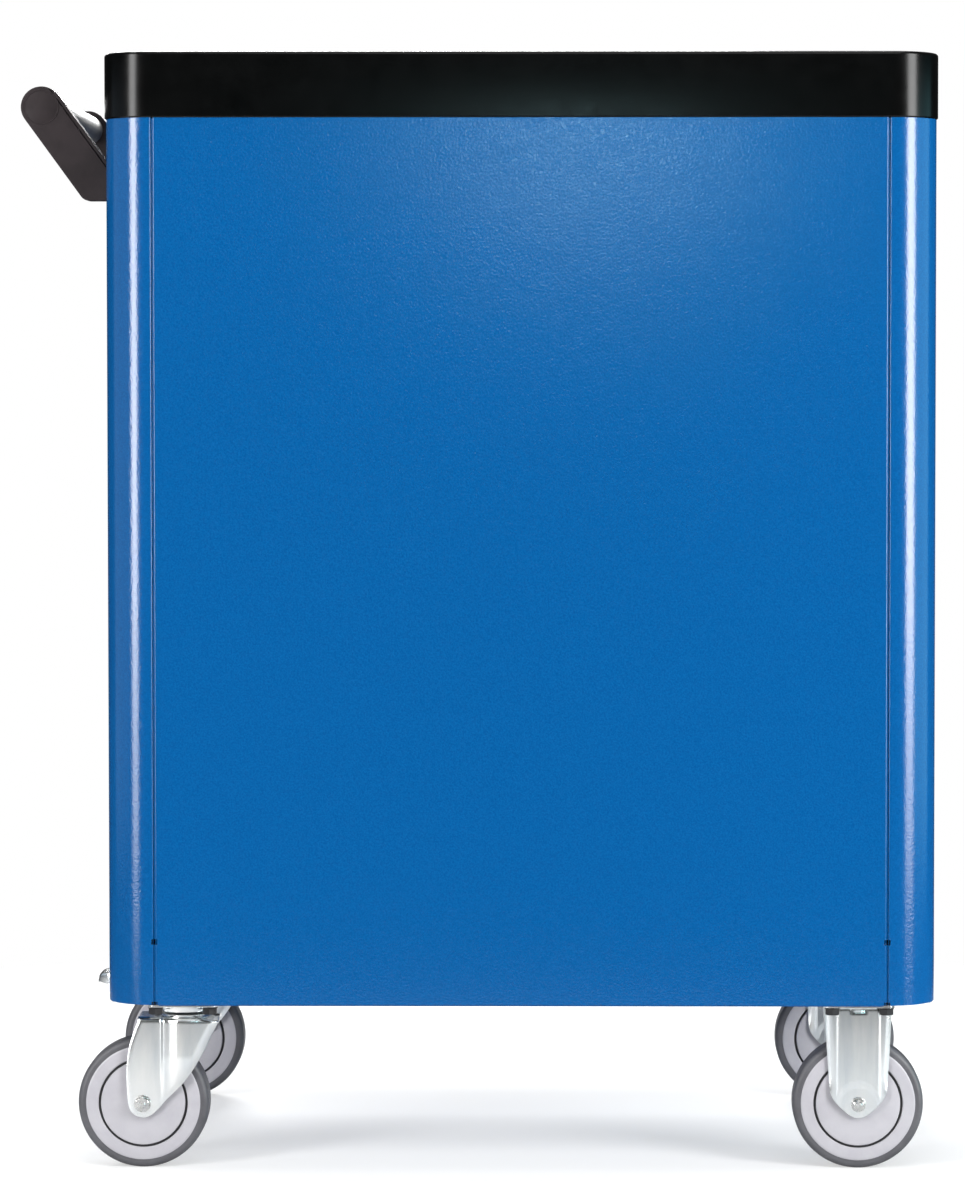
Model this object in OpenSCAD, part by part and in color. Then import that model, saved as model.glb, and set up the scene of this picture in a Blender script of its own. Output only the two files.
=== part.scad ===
// Rolling tool chest: a sheet-metal cabinet on four casters, with six drawers on three-part
// telescopic slides, a central lock, a moulded top tray and a push handle on one side.
// Millimetres, +Z up. The drawers face -Y and the handle is on the +X side.

/* [Cabinet] */
// Width of the cabinet body, without the handle
body_w = 790; // [740:10:840]
// Depth of the cabinet body
body_d = 480; // [470:5:500]
// Height of the body panels' lower edge above the floor
body_z = 161; // [161:1:165]
// Height of the body panels
body_h = 840; // [820:10:860]
// Outer radius of the four upright corners
corner_r = 44; // [43:1:47]
// Thickness of the body panels
sheet_t = 1.2; // [1:0.1:1.5]
// Width of the shadow gap between the corners and the rear panel
seam_gap = 1.6; // [1.5:0.1:2.4]
// Height of the base frame and its front sill
base_h = 60; // [58:1:64]
// Height of the header above the drawers
header_h = 42; // [36:1:50]

/* [Top tray] */
// Height of the tray's visible rim
tray_h = 62; // [55:1:70]
// How far the tray stands proud of the body on every side
tray_overhang = 1.5; // [1:0.5:3]
// Width of the flat rim round the tray
tray_rim = 24; // [18:1:30]
// Depth of the open work area below the rim
tray_recess = 30; // [20:1:36]
// Width of the row of small-parts bins
bin_w = 130; // [100:5:150]
// Number of small-parts bins
bin_count = 3; // [2:1:4]

/* [Handle] */
// How far the handle reaches out from the side wall
handle_reach = 82.5; // [75:0.5:95]
// Overall length of the handle, over its two brackets
handle_l = 380; // [340:5:384]
// Diameter of the grip tube
handle_tube_d = 30; // [25:1:32]
// Width of a bracket's arm, seen from its end
handle_arm_w = 39.4; // [38:0.2:44]
// Thickness of a bracket
handle_bracket_t = 22; // [18:1:26]

/* [Drawers] */
// Relative heights of the drawers, from the top one down
drawer_units = [1, 1, 1, 1, 2, 3]; // [1:0.5:4]
// Gap between two drawer fronts
front_gap = 3; // [2.5:0.1:4]
// Opening travel of a drawer
drawer_travel = 390; // [300:10:390]
// Inside-to-outside width of the drawer boxes
box_w = 664; // [650:1:664]
// Front-to-back depth of the drawer boxes
box_d = 412; // [380:2:414]
// Thickness of the drawer boxes' sheet
box_t = 1; // [0.8:0.1:1.5]

/* [Casters] */
// Wheel diameter
wheel_d = 125; // [125:1:126]
// Full height of a caster, from the floor to its mounting plate's top
caster_h = 160; // [160:1:161]
// Distance from the cabinet's side to a caster's centre
caster_inset_x = 73; // [70:1:90]
// Distance from the cabinet's front or back to a caster's centre
caster_inset_y = 46; // [44:1:60]
// Trail of the swivel casters: swivel axis to wheel axis
trail = 40; // [36:1:42]
// Hole spacing of the caster plates along X
bolt_dx = 51.5; // [48:0.5:53]
// Hole spacing of the caster plates along Y
bolt_dy = 61.5; // [60:0.5:63]

/* [Hidden] */
$fn = 64;
eps = 0.01;
big = 2000;
drawer_count = len(drawer_units);

// Frame: the origin is the centre of the whole footprint, handle included, on the floor.
x_shift = -(handle_reach - tray_overhang) / 2;
half_w = body_w / 2;
half_d = body_d / 2;
body_top = body_z + body_h;
tray_top = body_top + tray_h;
fold_flat = 3.5;
seam_x = half_w - corner_r - fold_flat;
wall_edge_x = seam_x + seam_gap / 2;
panel_edge_x = seam_x - seam_gap / 2;

// Base and header: folded pans whose flanges lie against the insides of the walls
base_floor_t = 2;
base_top = body_z + base_h;
header_z = body_top - header_h;
frame_t = 1.5;
frame_x = half_w - sheet_t;
frame_y = half_d - sheet_t;
frame_rear_x = panel_edge_x - 3;
flange_d = 18;
front_return = 25;
notch = 5;
bolt_room = 9;

// Slides: outer faces of the cabinet members stand at post_x
post_x = half_w - 50;
post_w = 35;
post_foot = 14;
slide_l = 400;
slide_y0 = -half_d + 25;
slide_t = 1.2;
slide_h = 45;
ball_gap = 1.5;
box_half = box_w / 2;
front_y = -half_d;
front_t = 18;
box_y0 = front_y + front_t;
front_half = seam_x - 1.5;
lip_h = 6.5;
grip_h = 20;
grip_d = 14;
front_sheet = 1.5;
box_lift = 6;
box_headroom = 25;
slide_lift = 10;

// Drawers are numbered from the top
function total(list, i = 0) = i < len(list) ? list[i] + total(list, i + 1) : 0;
function pitch_of(n) = drawer_units[n - 1] * (header_z - base_top) / total(drawer_units);
function sum_below(n) = n >= drawer_count ? 0 : pitch_of(n + 1) + sum_below(n + 1);
function drawer_z(n) = base_top + sum_below(n);
function slide_z(n) = drawer_z(n) + slide_lift + slide_h / 2;

// Lock: the cam's pin swings 45 degrees each side of level and lifts the bar
lock_x = half_w - 73;
lock_z = header_z + header_h / 2;
cam_r = 9;
pin_r = 2.5;
lock_lift = 2 * cam_r * sin(45);
bar_x = half_w - 44;
bar_t = 3;
bar_y = front_y + 22;
bar_w = 16;
tab_y = front_y + 34;
tab_t = 4;
lug_y = front_y + 40;
lug_z = 61;
lug_h = 15;
catch_t = 2;

// Casters
wheel_r = wheel_d / 2;
caster_x = half_w - caster_inset_x;
caster_y = half_d - caster_inset_y;
rim_r = 54.7;
tyre_bed_r = 52;
tyre_half = 15.2;
rim_half = 16;
guard_r = 40.3;
groove_w = 2.4;
hub_r = 12;
hub_half = 18.5;
plate_dx = 67;
plate_dy = 77;
plate_t = 2.5;
leg_in = 19;
leg_t = 2.5;
bolt_r = 4;
bolt_hole_r = 4.25;
pivot_pin_r = 6;
axle_r = 6;
running = 0.05;
crown_top = 145.6;
crown_t = 2.6;
pedal_u = 24;
pedal_z = 134;
pedal_tip_u = 131;
pedal_pin_r = 3;

// ---------- helpers ----------

// Everything is drawn round the cabinet's middle and then moved into the row frame
module placed() { translate([x_shift, 0, 0]) children(); }

// A box from its low corner to its high corner
module block(lo, hi) { translate(lo) cube(hi - lo); }

// Rounded rectangle of true arcs, centred
module rounded(w, d, r) {
    square([w - 2 * r, d], center = true);
    square([w, d - 2 * r], center = true);
    for (x = [-1, 1], y = [-1, 1])
        translate([x * (w / 2 - r), y * (d / 2 - r)]) circle(r);
}

// The body's outline, set in by a distance
module body_outline(inset) { rounded(body_w - 2 * inset, body_d - 2 * inset, corner_r - inset); }

module rod_y(r, y0, y1) { translate([0, y0, 0]) rotate([-90, 0, 0]) cylinder(r = r, h = y1 - y0); }
module hex_y(across, y0, y1) {
    translate([0, y0, 0]) rotate([-90, 0, 0]) cylinder(d = across / cos(30), h = y1 - y0, $fn = 6);
}

// ---------- cabinet ----------

module side_wall_2d() {
    intersection() {
        difference() {
            body_outline(0);
            body_outline(sheet_t);
        }
        translate([wall_edge_x, -big / 2]) square([big, big]);
    }
    for (s = [-1, 1])
        translate([wall_edge_x, s > 0 ? half_d - front_return : -half_d])
            square([sheet_t, front_return]);
}

module seam_notches() {
    for (x = [-seam_x, seam_x])
        block([x - notch / 2, half_d - 3, base_top - notch / 2], [x + notch / 2, half_d + 1, base_top + notch / 2]);
}

// Round relief holes where the bend lines meet the lower edge
module seam_reliefs() {
    for (x = [-seam_x, seam_x])
        translate([x, 0, body_z + 1.5]) rod_y(2, half_d - 3, half_d + 1);
}

// Room in the folded edges for the ends of the casters' bolts
module bolt_reliefs() {
    for (x = [-1, 1], y = [-1, 1])
        translate([x * (caster_x + bolt_dx / 2), y * (caster_y + bolt_dy / 2), caster_h])
            cube([2 * bolt_room, 2 * bolt_room, 2 * post_foot], center = true);
}

module side_wall() {
    difference() {
        translate([0, 0, body_z]) linear_extrude(body_h) side_wall_2d();
        seam_notches();
        seam_reliefs();
        bolt_reliefs();
    }
}

module handle_side_wall() {
    color("royalblue") placed() difference() {
        side_wall();
        handle_screw_places() rotate([0, 90, 0]) cylinder(r = 3.25, h = 8, center = true);
    }
}

module plain_side_wall() { color("royalblue") placed() mirror([1, 0, 0]) side_wall(); }

module rear_panel() {
    color("royalblue") placed() difference() {
        union() {
            block([-panel_edge_x, half_d - sheet_t, body_z], [panel_edge_x, half_d, body_top]);
            for (s = [-1, 1])
                translate([s * (panel_edge_x - sheet_t / 2), half_d - flange_d / 2, body_z + body_h / 2])
                    cube([sheet_t, flange_d, body_h], center = true);
        }
        seam_notches();
        seam_reliefs();
        bolt_reliefs();
    }
}

module caster_holes(z0, z1) {
    for (x = [-caster_x, caster_x], y = [-caster_y, caster_y], i = [-0.5, 0.5], j = [-0.5, 0.5])
        translate([x + i * bolt_dx, y + j * bolt_dy, z0]) cylinder(r = bolt_hole_r, h = z1 - z0);
}

// A frame's sheet, in outline: inside the walls and between the corners' folded edges
module frame_sheet_2d() {
    intersection() {
        body_outline(sheet_t);
        square([2 * frame_x, 2 * (half_d - front_return - 2)], center = true);
    }
    translate([-front_half, -half_d]) square([2 * front_half, front_return + 5]);
    translate([-frame_rear_x, frame_y - front_return - 5]) square([2 * frame_rear_x, front_return + 5]);
}

// A frame's upright flanges against the side walls and the rear panel
module frame_flanges(z0, z1) {
    side_l = body_d - 2 * corner_r - 8;
    for (s = [-1, 1])
        translate([s * (frame_x - frame_t / 2), 0, (z0 + z1) / 2])
            cube([frame_t, side_l, z1 - z0], center = true);
    block([-frame_rear_x, frame_y - frame_t, z0], [frame_rear_x, frame_y, z1]);
}

// A pan for the casters, with a sill between the front corners
module base_frame() {
    color("royalblue") placed() difference() {
        union() {
            translate([0, 0, caster_h]) linear_extrude(base_floor_t) frame_sheet_2d();
            frame_flanges(caster_h, base_top);
            block([-front_half, -half_d, caster_h], [front_half, -half_d + frame_t, base_top]);
            block([-front_half, -half_d, base_top - frame_t], [front_half, -half_d + flange_d, base_top]);
        }
        caster_holes(caster_h - 1, caster_h + base_floor_t + 1);
    }
}

// The header over the drawers, with the roof sheet under the tray
module top_frame() {
    color("royalblue") placed() difference() {
        union() {
            translate([0, 0, body_top - frame_t]) linear_extrude(frame_t) frame_sheet_2d();
            frame_flanges(header_z, body_top);
            block([-front_half, -half_d, header_z], [front_half, -half_d + frame_t, body_top]);
            block([-front_half, -half_d, header_z], [front_half, -half_d + flange_d - 3, header_z + frame_t]);
        }
        translate([lock_x, 0, lock_z]) rod_y(11.1, -half_d - 1, -half_d + 5);
    }
}

// One upright channel that carries slides, open towards the side wall
module post(y0, y1) {
    z0 = caster_h + post_foot;
    z1 = body_top - frame_t;
    block([post_x, y0, z0], [post_x + frame_t, y1, z1]);
    for (y = [y0, y1 - frame_t]) block([post_x, y, z0], [frame_x - frame_t, y + frame_t, z1]);
}

// Two forked guides on the lock-side post keep the lock bar upright
module bar_guides(y1) {
    for (z = [330, 820], x = [bar_x - 1.6, bar_x + bar_t + 0.4])
        block([x, bar_y + 4, z], [x + 1.2, y1 + 1, z + 14]);
}

module slide_posts() {
    front_post = -half_d + 53;
    rear_post = half_d - 102;
    color("lightsteelblue") placed() {
        for (y = [front_post, rear_post]) {
            post(y, y + post_w);
            mirror([1, 0, 0]) post(y, y + post_w);
        }
        bar_guides(front_post);
    }
}

// A slide member's section is a channel: its web upright, its two flanges towards the open side
module channel(web_x, open_x, half_h, z, y0) {
    outward = open_x > web_x ? 1 : -1;
    block([min(web_x, web_x + outward * slide_t), y0, z - half_h],
          [max(web_x, web_x + outward * slide_t), y0 + slide_l, z + half_h]);
    for (s = [-1, 1])
        block([min(web_x, open_x), y0, z + (s > 0 ? half_h - slide_t : -half_h)],
              [max(web_x, open_x), y0 + slide_l, z + (s > 0 ? half_h : -half_h + slide_t)]);
}

module pair() {
    children();
    mirror([1, 0, 0]) children();
}

cabinet_half = slide_h / 2;
middle_half = cabinet_half - slide_t - ball_gap;
runner_half = middle_half - slide_t - ball_gap;

module cabinet_slides() {
    color("silver") placed() for (n = [1 : drawer_count])
        pair() channel(post_x, post_x - 10, cabinet_half, slide_z(n), slide_y0);
}

// ---------- top tray ----------

tray_wall = 3.5;
floor_z = tray_top - tray_recess;
bin_floor_z = body_top + 6;
tray_in_w = body_w - 2 * (tray_rim + tray_wall);
tray_in_d = body_d - 2 * tray_rim;
work_w = tray_in_w - bin_w - tray_wall;
bins_x0 = half_w - tray_rim - tray_wall - bin_w;
bin_l = (tray_in_d - (bin_count - 1) * tray_wall) / bin_count;

// One basin: a rounded pocket in plan, from a floor height up through the rim
module basin(x0, y0, w, d, r, z0) {
    translate([x0 + w / 2, y0 + d / 2, z0]) linear_extrude(tray_top - z0 + 1) rounded(w, d, r);
}

module work_area(grow, z0) {
    basin(-half_w + tray_rim + tray_wall - grow, -tray_in_d / 2 - grow, work_w + 2 * grow, tray_in_d + 2 * grow,
          20 + grow, z0);
}

module bins(grow, z0) {
    for (i = [0 : bin_count - 1])
        basin(bins_x0 - grow, -tray_in_d / 2 + i * (bin_l + tray_wall) - grow, bin_w + 2 * grow, bin_l + 2 * grow,
              14 + grow, z0);
}

// A moulding of even wall: a skirt, a flat rim, and basins with walls that hang from it
module top_tray() {
    color("black") placed() difference() {
        union() {
            difference() {
                translate([0, 0, body_top]) linear_extrude(tray_h) body_outline(-tray_overhang);
                translate([0, 0, body_top - 1]) linear_extrude(tray_h - tray_wall + 1)
                    body_outline(-tray_overhang + tray_wall);
            }
            intersection() {
                union() {
                    work_area(tray_wall - eps, floor_z - tray_wall);
                    bins(tray_wall - eps, bin_floor_z - tray_wall);
                }
                translate([0, 0, body_top]) linear_extrude(tray_h) body_outline(0);
            }
        }
        work_area(0, floor_z);
        bins(0, bin_floor_z);
    }
}

module tray_mat() {
    color("dimgray") placed() intersection() {
        work_area(-1, floor_z);
        block([-half_w, -half_d, floor_z], [half_w, half_d, floor_z + 2.5]);
    }
}

// ---------- handle ----------

handle_r = handle_arm_w / 2;
grip_x = half_w + handle_reach - handle_r;
grip_z = body_top + 13;
arm_lean = 36;
foot_z = body_top - 76;
foot_top = body_top - 40;
cap_r = 17;
socket_d = 12;

// A bracket seen from its end: a round head and a leaning arm, cut off at the wall and at its foot
module arm_2d() {
    translate([grip_x, grip_z]) {
        circle(handle_r);
        rotate(180 - arm_lean) translate([-handle_r, 0]) square([handle_arm_w, 200]);
    }
}

// The foot's outer corner, with the part of it that a round corner leaves away
function arm_edge_x(z) = grip_x + handle_r / cos(arm_lean) - (grip_z - z) * tan(arm_lean);
foot_round = 9;
foot_round_x = arm_edge_x(foot_z + foot_round) - foot_round / cos(arm_lean);

module foot_corner_2d() {
    difference() {
        polygon([[foot_round_x, foot_z - 1], [arm_edge_x(foot_z) + 2, foot_z - 1],
                 [foot_round_x + 2 * foot_round * cos(arm_lean), foot_z + foot_round - foot_round * sin(arm_lean)],
                 [foot_round_x + foot_round * cos(arm_lean), foot_z + foot_round - foot_round * sin(arm_lean)],
                 [foot_round_x, foot_z + foot_round]]);
        translate([foot_round_x, foot_z + foot_round]) circle(foot_round);
    }
}

module bracket_2d() {
    difference() {
        intersection() {
            arm_2d();
            translate([half_w, foot_z]) square([200, 200]);
        }
        foot_corner_2d();
    }
}

module handle_screw_places() {
    for (y = [-1, 1], z = [foot_z + 9, foot_top - 8])
        translate([half_w, y * (handle_l - handle_bracket_t) / 2, z]) children();
}

module handle_bracket(s) {
    y_out = s * handle_l / 2;
    color("black") placed() difference() {
        translate([0, max(y_out, y_out - s * handle_bracket_t), 0]) rotate([90, 0, 0])
            linear_extrude(handle_bracket_t) bracket_2d();
        translate([grip_x, 0, grip_z]) {
            rod_y(handle_tube_d / 2 + running, -handle_l / 2 + handle_bracket_t - socket_d,
                  handle_l / 2 - handle_bracket_t + socket_d);
            for (e = [-1, 1])
                translate([0, e * handle_l / 2, 0]) rod_y(cap_r + 0.1, -2, 2);
        }
        handle_screw_places() rotate([0, 90, 0]) cylinder(r = 2.6, h = 30, center = true);
    }
}

module handle_bracket_rear() { handle_bracket(1); }
module handle_bracket_front() { handle_bracket(-1); }

module handle_tube() {
    color("gray") placed() translate([grip_x, 0, grip_z]) difference() {
        reach = handle_l / 2 - handle_bracket_t + socket_d - 0.5;
        rod_y(handle_tube_d / 2, -reach, reach);
        rod_y(handle_tube_d / 2 - 2, -reach - 1, reach + 1);
    }
}

module handle_end_caps() {
    color("black") placed() for (s = [-1, 1])
        translate([grip_x, s * (handle_l / 2 - 1), grip_z]) rod_y(cap_r, -0.95, 0.95);
}

// Pan-head screws driven from inside the cabinet into the brackets
module handle_screws() {
    color("silver") placed() handle_screw_places() rotate([0, 90, 0]) {
        cylinder(r = 2.5, h = 13);
        translate([0, 0, -sheet_t]) cylinder(r = 2.5, h = sheet_t + 1);
        translate([0, 0, -sheet_t - 3.5]) cylinder(r = 5, h = 3.4);
    }
}

// ---------- lock ----------

module lock_housing() {
    color("silver") placed() translate([lock_x, 0, lock_z]) difference() {
        union() {
            rod_y(14, -half_d - 1.4, -half_d);
            rod_y(11, -half_d - 1.4, -half_d + 20);
            rod_y(14.5, -half_d + 1.6, -half_d + 5);
        }
        rod_y(9 + running, -half_d - 2, -half_d + 21);
    }
}

module lock_barrel() {
    color("gainsboro") placed() translate([lock_x, 0, lock_z]) difference() {
        union() {
            rod_y(9, -half_d - 1, -half_d + 20.4);
            rod_y(4, -half_d + 20, -half_d + 27);
        }
        translate([-0.9, -half_d - 2, -4]) cube([1.8, 14, 8]);
    }
}

// The cam's pin points down and towards the wall at rest, and up and towards the wall when locked
module lock_cam() {
    cam_y = -half_d + 20.7;
    cam_t = 2.5;
    color("silver") placed() translate([lock_x, 0, lock_z]) {
        translate([0, cam_y + cam_t, 0]) rotate([90, 0, 0]) linear_extrude(cam_t) rotate(-45) difference() {
            union() {
                circle(7);
                translate([0, -3.4]) square([cam_r, 6.8]);
                translate([cam_r, 0]) circle(4);
            }
            circle(4);
        }
        rotate([0, 45, 0]) translate([cam_r, 0, 0]) rod_y(pin_r, cam_y + cam_t - 0.5, -half_d + 36);
    }
}

// An upright strip with one tab per drawer and an arm with a slot for the cam's pin
module lock_bar() {
    pin_z = lock_z - cam_r * sin(45);
    arm_y = front_y + 31;
    color("silver") placed() difference() {
        union() {
            block([bar_x, bar_y, 240], [bar_x + bar_t, bar_y + bar_w, pin_z + 7]);
            block([lock_x, arm_y, pin_z - 7], [bar_x + 1, arm_y + 3, pin_z + 7]);
            for (n = [1 : drawer_count])
                block([box_half + 4, tab_y, drawer_z(n) + lug_z - 5],
                      [bar_x + 1, tab_y + tab_t, drawer_z(n) + lug_z - 1]);
        }
        block([lock_x + cam_r * cos(45) - pin_r - 1, arm_y - 1, pin_z - pin_r - 0.7],
              [lock_x + cam_r + pin_r + 1, arm_y + 4, pin_z + pin_r + 0.7]);
    }
}

// ---------- drawers ----------

// Section of a front, in Y (from its face) and Z (from its lower edge): face sheet, finger recess, hooked lip
module front_2d(h) {
    t = front_sheet;
    polygon([[0, 0], [front_t, 0], [front_t, t], [t, t], [t, h - grip_h - t], [grip_d + t, h - grip_h - t],
             [grip_d + t, h - t], [front_t, h - t], [front_t, h], [-1, h], [-1, h - lip_h], [t - 1, h - lip_h],
             [t - 1, h - t], [grip_d, h - t], [grip_d, h - grip_h], [0, h - grip_h]]);
}

module drawer_front(n) {
    h = pitch_of(n) - front_gap;
    color("royalblue") placed() translate([0, front_y, drawer_z(n) + front_gap / 2]) {
        translate([-front_half, 0, 0]) rotate([90, 0, 90]) linear_extrude(2 * front_half) front_2d(h);
        for (x = [-front_half, front_half - front_sheet])
            block([x, 0, 0], [x + front_sheet, front_t, h]);
    }
}

// A box is an open pan
module drawer_box(n) {
    z0 = drawer_z(n) + box_lift;
    h = pitch_of(n) - box_headroom;
    color("dimgray") placed() difference() {
        block([-box_half, box_y0, z0], [box_half, box_y0 + box_d, z0 + h]);
        block([-box_half + box_t, box_y0 + box_t, z0 + box_t],
              [box_half - box_t, box_y0 + box_d - box_t, z0 + h + 1]);
    }
}

// Two runners, and an angled catch for the lock bar above the one on the lock side
module drawer_runners(n) {
    catch_z = drawer_z(n) + lug_z;
    color("silver") placed() {
        pair() channel(box_half, box_half + 9.4, runner_half, slide_z(n), slide_y0);
        block([box_half, lug_y, catch_z - 3], [box_half + catch_t, lug_y + 25, catch_z + 4]);
        block([box_half, lug_y, catch_z], [box_half + 10, lug_y + 2.5, catch_z + lug_h]);
    }
}

module drawer_middle_slides(n) {
    color("silver") placed() pair() channel(post_x - 1.6, post_x - 11, middle_half, slide_z(n), slide_y0);
}

// ---------- casters ----------

// Children are drawn round the floor point under a caster's centre, and placed at one corner
module at_caster(sx, sy) { placed() translate([sx * caster_x, sy * caster_y, 0]) children(); }

module mounting_plate() {
    difference() {
        translate([0, 0, caster_h - plate_t]) linear_extrude(plate_t) rounded(plate_dx, plate_dy, 6);
        for (i = [-0.5, 0.5], j = [-0.5, 0.5])
            translate([i * bolt_dx, j * bolt_dy, 0]) cylinder(r = bolt_hole_r, h = 200);
    }
}

module fixed_leg_2d() {
    leg_top = caster_h - wheel_r - plate_t + 1;
    circle(13);
    polygon([[-9.2, -9.2], [-26, 9], [-29, 36], [-32, leg_top], [32, leg_top], [29, 36], [26, 9], [9.2, -9.2]]);
}

module fixed_bracket(sy) {
    color("silver") at_caster(-1, sy) difference() {
        union() {
            mounting_plate();
            for (y = [-leg_in - leg_t, leg_in])
                translate([0, y + leg_t, wheel_r]) rotate([90, 0, 0]) linear_extrude(leg_t) fixed_leg_2d();
        }
        translate([0, 0, wheel_r]) rod_y(bolt_r + running, -50, 50);
    }
}

module fixed_bracket_rear() { fixed_bracket(1); }
module fixed_bracket_front() { fixed_bracket(-1); }

// Sleeve between the legs on a bolt, with a hex head and a nut outside them
module axle() {
    translate([0, 0, wheel_r]) {
        rod_y(axle_r, -leg_in + 0.1, leg_in - 0.1);
        rod_y(bolt_r, -leg_in - leg_t - 9, leg_in + leg_t + 6);
        hex_y(13, leg_in + leg_t, leg_in + leg_t + 5.5);
        hex_y(13, -leg_in - leg_t - 6.5, -leg_in - leg_t);
    }
}

module fixed_axles() { color("silver") for (s = [-1, 1]) at_caster(-1, s) axle(); }

// Plate, upper ball race and king pin of a swivel caster
module swivel_plate() {
    mounting_plate();
    difference() {
        translate([0, 0, crown_top + 4.4]) cylinder(r = 27, h = caster_h - plate_t - crown_top - 4);
        translate([0, 0, crown_top]) cylinder(r1 = 24, r2 = 20, h = 8);
    }
    translate([0, 0, crown_top - crown_t - 1]) cylinder(r = pivot_pin_r, h = caster_h - 1 - crown_top + crown_t);
    translate([0, 0, crown_top - crown_t - 3.3]) cylinder(r = 9, h = 3);
}

module swivel_plates() { color("silver") for (s = [-1, 1]) at_caster(1, s) swivel_plate(); }

module fork_leg_2d() {
    translate([trail, 0]) circle(13.5);
    polygon([[trail + 13.5, 0], [54.8, 12], [55.5, 36], [53, 59], [44, crown_top - wheel_r],
             [-34, crown_top - wheel_r], [-16, 47], [2.4, 19.5], [trail - 9, -10]]);
}

module fork_body() {
    for (y = [-leg_in - leg_t, leg_in])
        translate([0, y + leg_t, wheel_r]) rotate([90, 0, 0]) linear_extrude(leg_t) fork_leg_2d();
    block([-34, -leg_in - leg_t, crown_top - crown_t], [44, leg_in + leg_t, crown_top]);
    translate([0, 0, crown_top - crown_t]) cylinder(r = 26, h = crown_t);
    translate([0, 0, crown_top - eps]) cylinder(r1 = 23, r2 = 21.3, h = 3.4);
}

module swivel_fork(sy, with_brake) {
    color("silver") at_caster(1, sy) difference() {
        fork_body();
        translate([0, 0, 100]) cylinder(r = pivot_pin_r + running, h = 60);
        translate([trail, 0, wheel_r]) rod_y(bolt_r + running, -50, 50);
        if (with_brake) translate([pedal_u, 0, pedal_z]) rod_y(pedal_pin_r + running, -50, 50);
    }
}

module swivel_fork_rear() { swivel_fork(1, false); }
module swivel_fork_front() { swivel_fork(-1, true); }
module swivel_axle(sy) { color("silver") at_caster(1, sy) translate([trail, 0, 0]) axle(); }
module swivel_axle_rear() { swivel_axle(1); }
module swivel_axle_front() { swivel_axle(-1); }

// A foot lever on a cross pin: its shoe drops towards the tyre when the broad end is pressed
module brake_pedal() {
    tread_t = 3;
    tread_top = 132.5;
    tread_x0 = 60;
    lip_t = 2;
    color("silver") at_caster(1, -1) {
        translate([pedal_u, 0, pedal_z]) rod_y(pedal_pin_r, -leg_in - leg_t - 1, leg_in + leg_t + 1);
        block([pedal_u - 5, -16, pedal_z - 5], [pedal_u + 6, 16, pedal_z + 4]);
        block([pedal_u, -16, pedal_z], [tread_x0 + 2, 16, pedal_z + 2.5]);
        block([35, -11, pedal_z - 4.3], [52, 11, pedal_z + 1]);
        block([tread_x0, -16, tread_top - tread_t], [tread_x0 + 2, 16, pedal_z + 2.5]);
        translate([0, 0, tread_top - tread_t]) linear_extrude(tread_t) {
            translate([tread_x0, -20]) square([pedal_tip_u - 8 - tread_x0, 40]);
            translate([tread_x0, -12]) square([pedal_tip_u - tread_x0, 24]);
            for (y = [-12, 12]) translate([pedal_tip_u - 8, y]) circle(8);
        }
        for (y = [-20, 20 - lip_t])
            block([92, y, tread_top - 12], [pedal_tip_u - 8, y + lip_t, tread_top]);
        block([pedal_tip_u - lip_t, -12, tread_top - 14.5], [pedal_tip_u, 12, tread_top]);
    }
}

module tyre(sx, sy, offset_x) {
    color("dimgray") at_caster(sx, sy) translate([offset_x, 0, wheel_r]) rotate([-90, 0, 0]) rotate_extrude() {
        shoulder = 4.5;
        translate([tyre_bed_r, -tyre_half]) square([wheel_r - tyre_bed_r - shoulder, 2 * tyre_half]);
        translate([tyre_bed_r, -tyre_half + shoulder]) square([wheel_r - tyre_bed_r, 2 * (tyre_half - shoulder)]);
        for (s = [-1, 1])
            translate([wheel_r - shoulder, s * (tyre_half - shoulder)]) circle(shoulder);
    }
}

// Hub, web and rim in one, with a groove round each face that sets off the thread guard
module rim(sx, sy, offset_x) {
    color("gainsboro") at_caster(sx, sy) translate([offset_x, 0, wheel_r]) rotate([-90, 0, 0]) rotate_extrude()
        difference() {
            union() {
                translate([axle_r + running, -rim_half]) square([tyre_bed_r - axle_r - running, 2 * rim_half]);
                for (y = [tyre_half + 0.05, -rim_half])
                    translate([tyre_bed_r - 1, y]) square([rim_r - tyre_bed_r + 1, rim_half - tyre_half - 0.05]);
                translate([axle_r + running, -rim_half - 1]) square([guard_r - axle_r - running, 2 * rim_half + 2]);
                translate([axle_r + running, -hub_half]) square([hub_r - axle_r - running, 2 * hub_half]);
            }
            for (y = [rim_half - 2, -rim_half - 2])
                translate([guard_r, y]) square([groove_w, 4]);
        }
}

// Hex bolts up through the plates and the base, each with its nut inside the base
module caster_bolts() {
    color("dimgray") placed()
        for (x = [-caster_x, caster_x], y = [-caster_y, caster_y], i = [-0.5, 0.5], j = [-0.5, 0.5])
            translate([x + i * bolt_dx, y + j * bolt_dy, 0]) {
                translate([0, 0, caster_h - plate_t - 7]) cylinder(d = 13 / cos(30), h = 7, $fn = 6);
                translate([0, 0, caster_h - plate_t - 1]) cylinder(r = bolt_r, h = 16);
                translate([0, 0, caster_h + base_floor_t]) cylinder(d = 13 / cos(30), h = 6.5, $fn = 6);
            }
}

// ---------- nodes ----------

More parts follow.
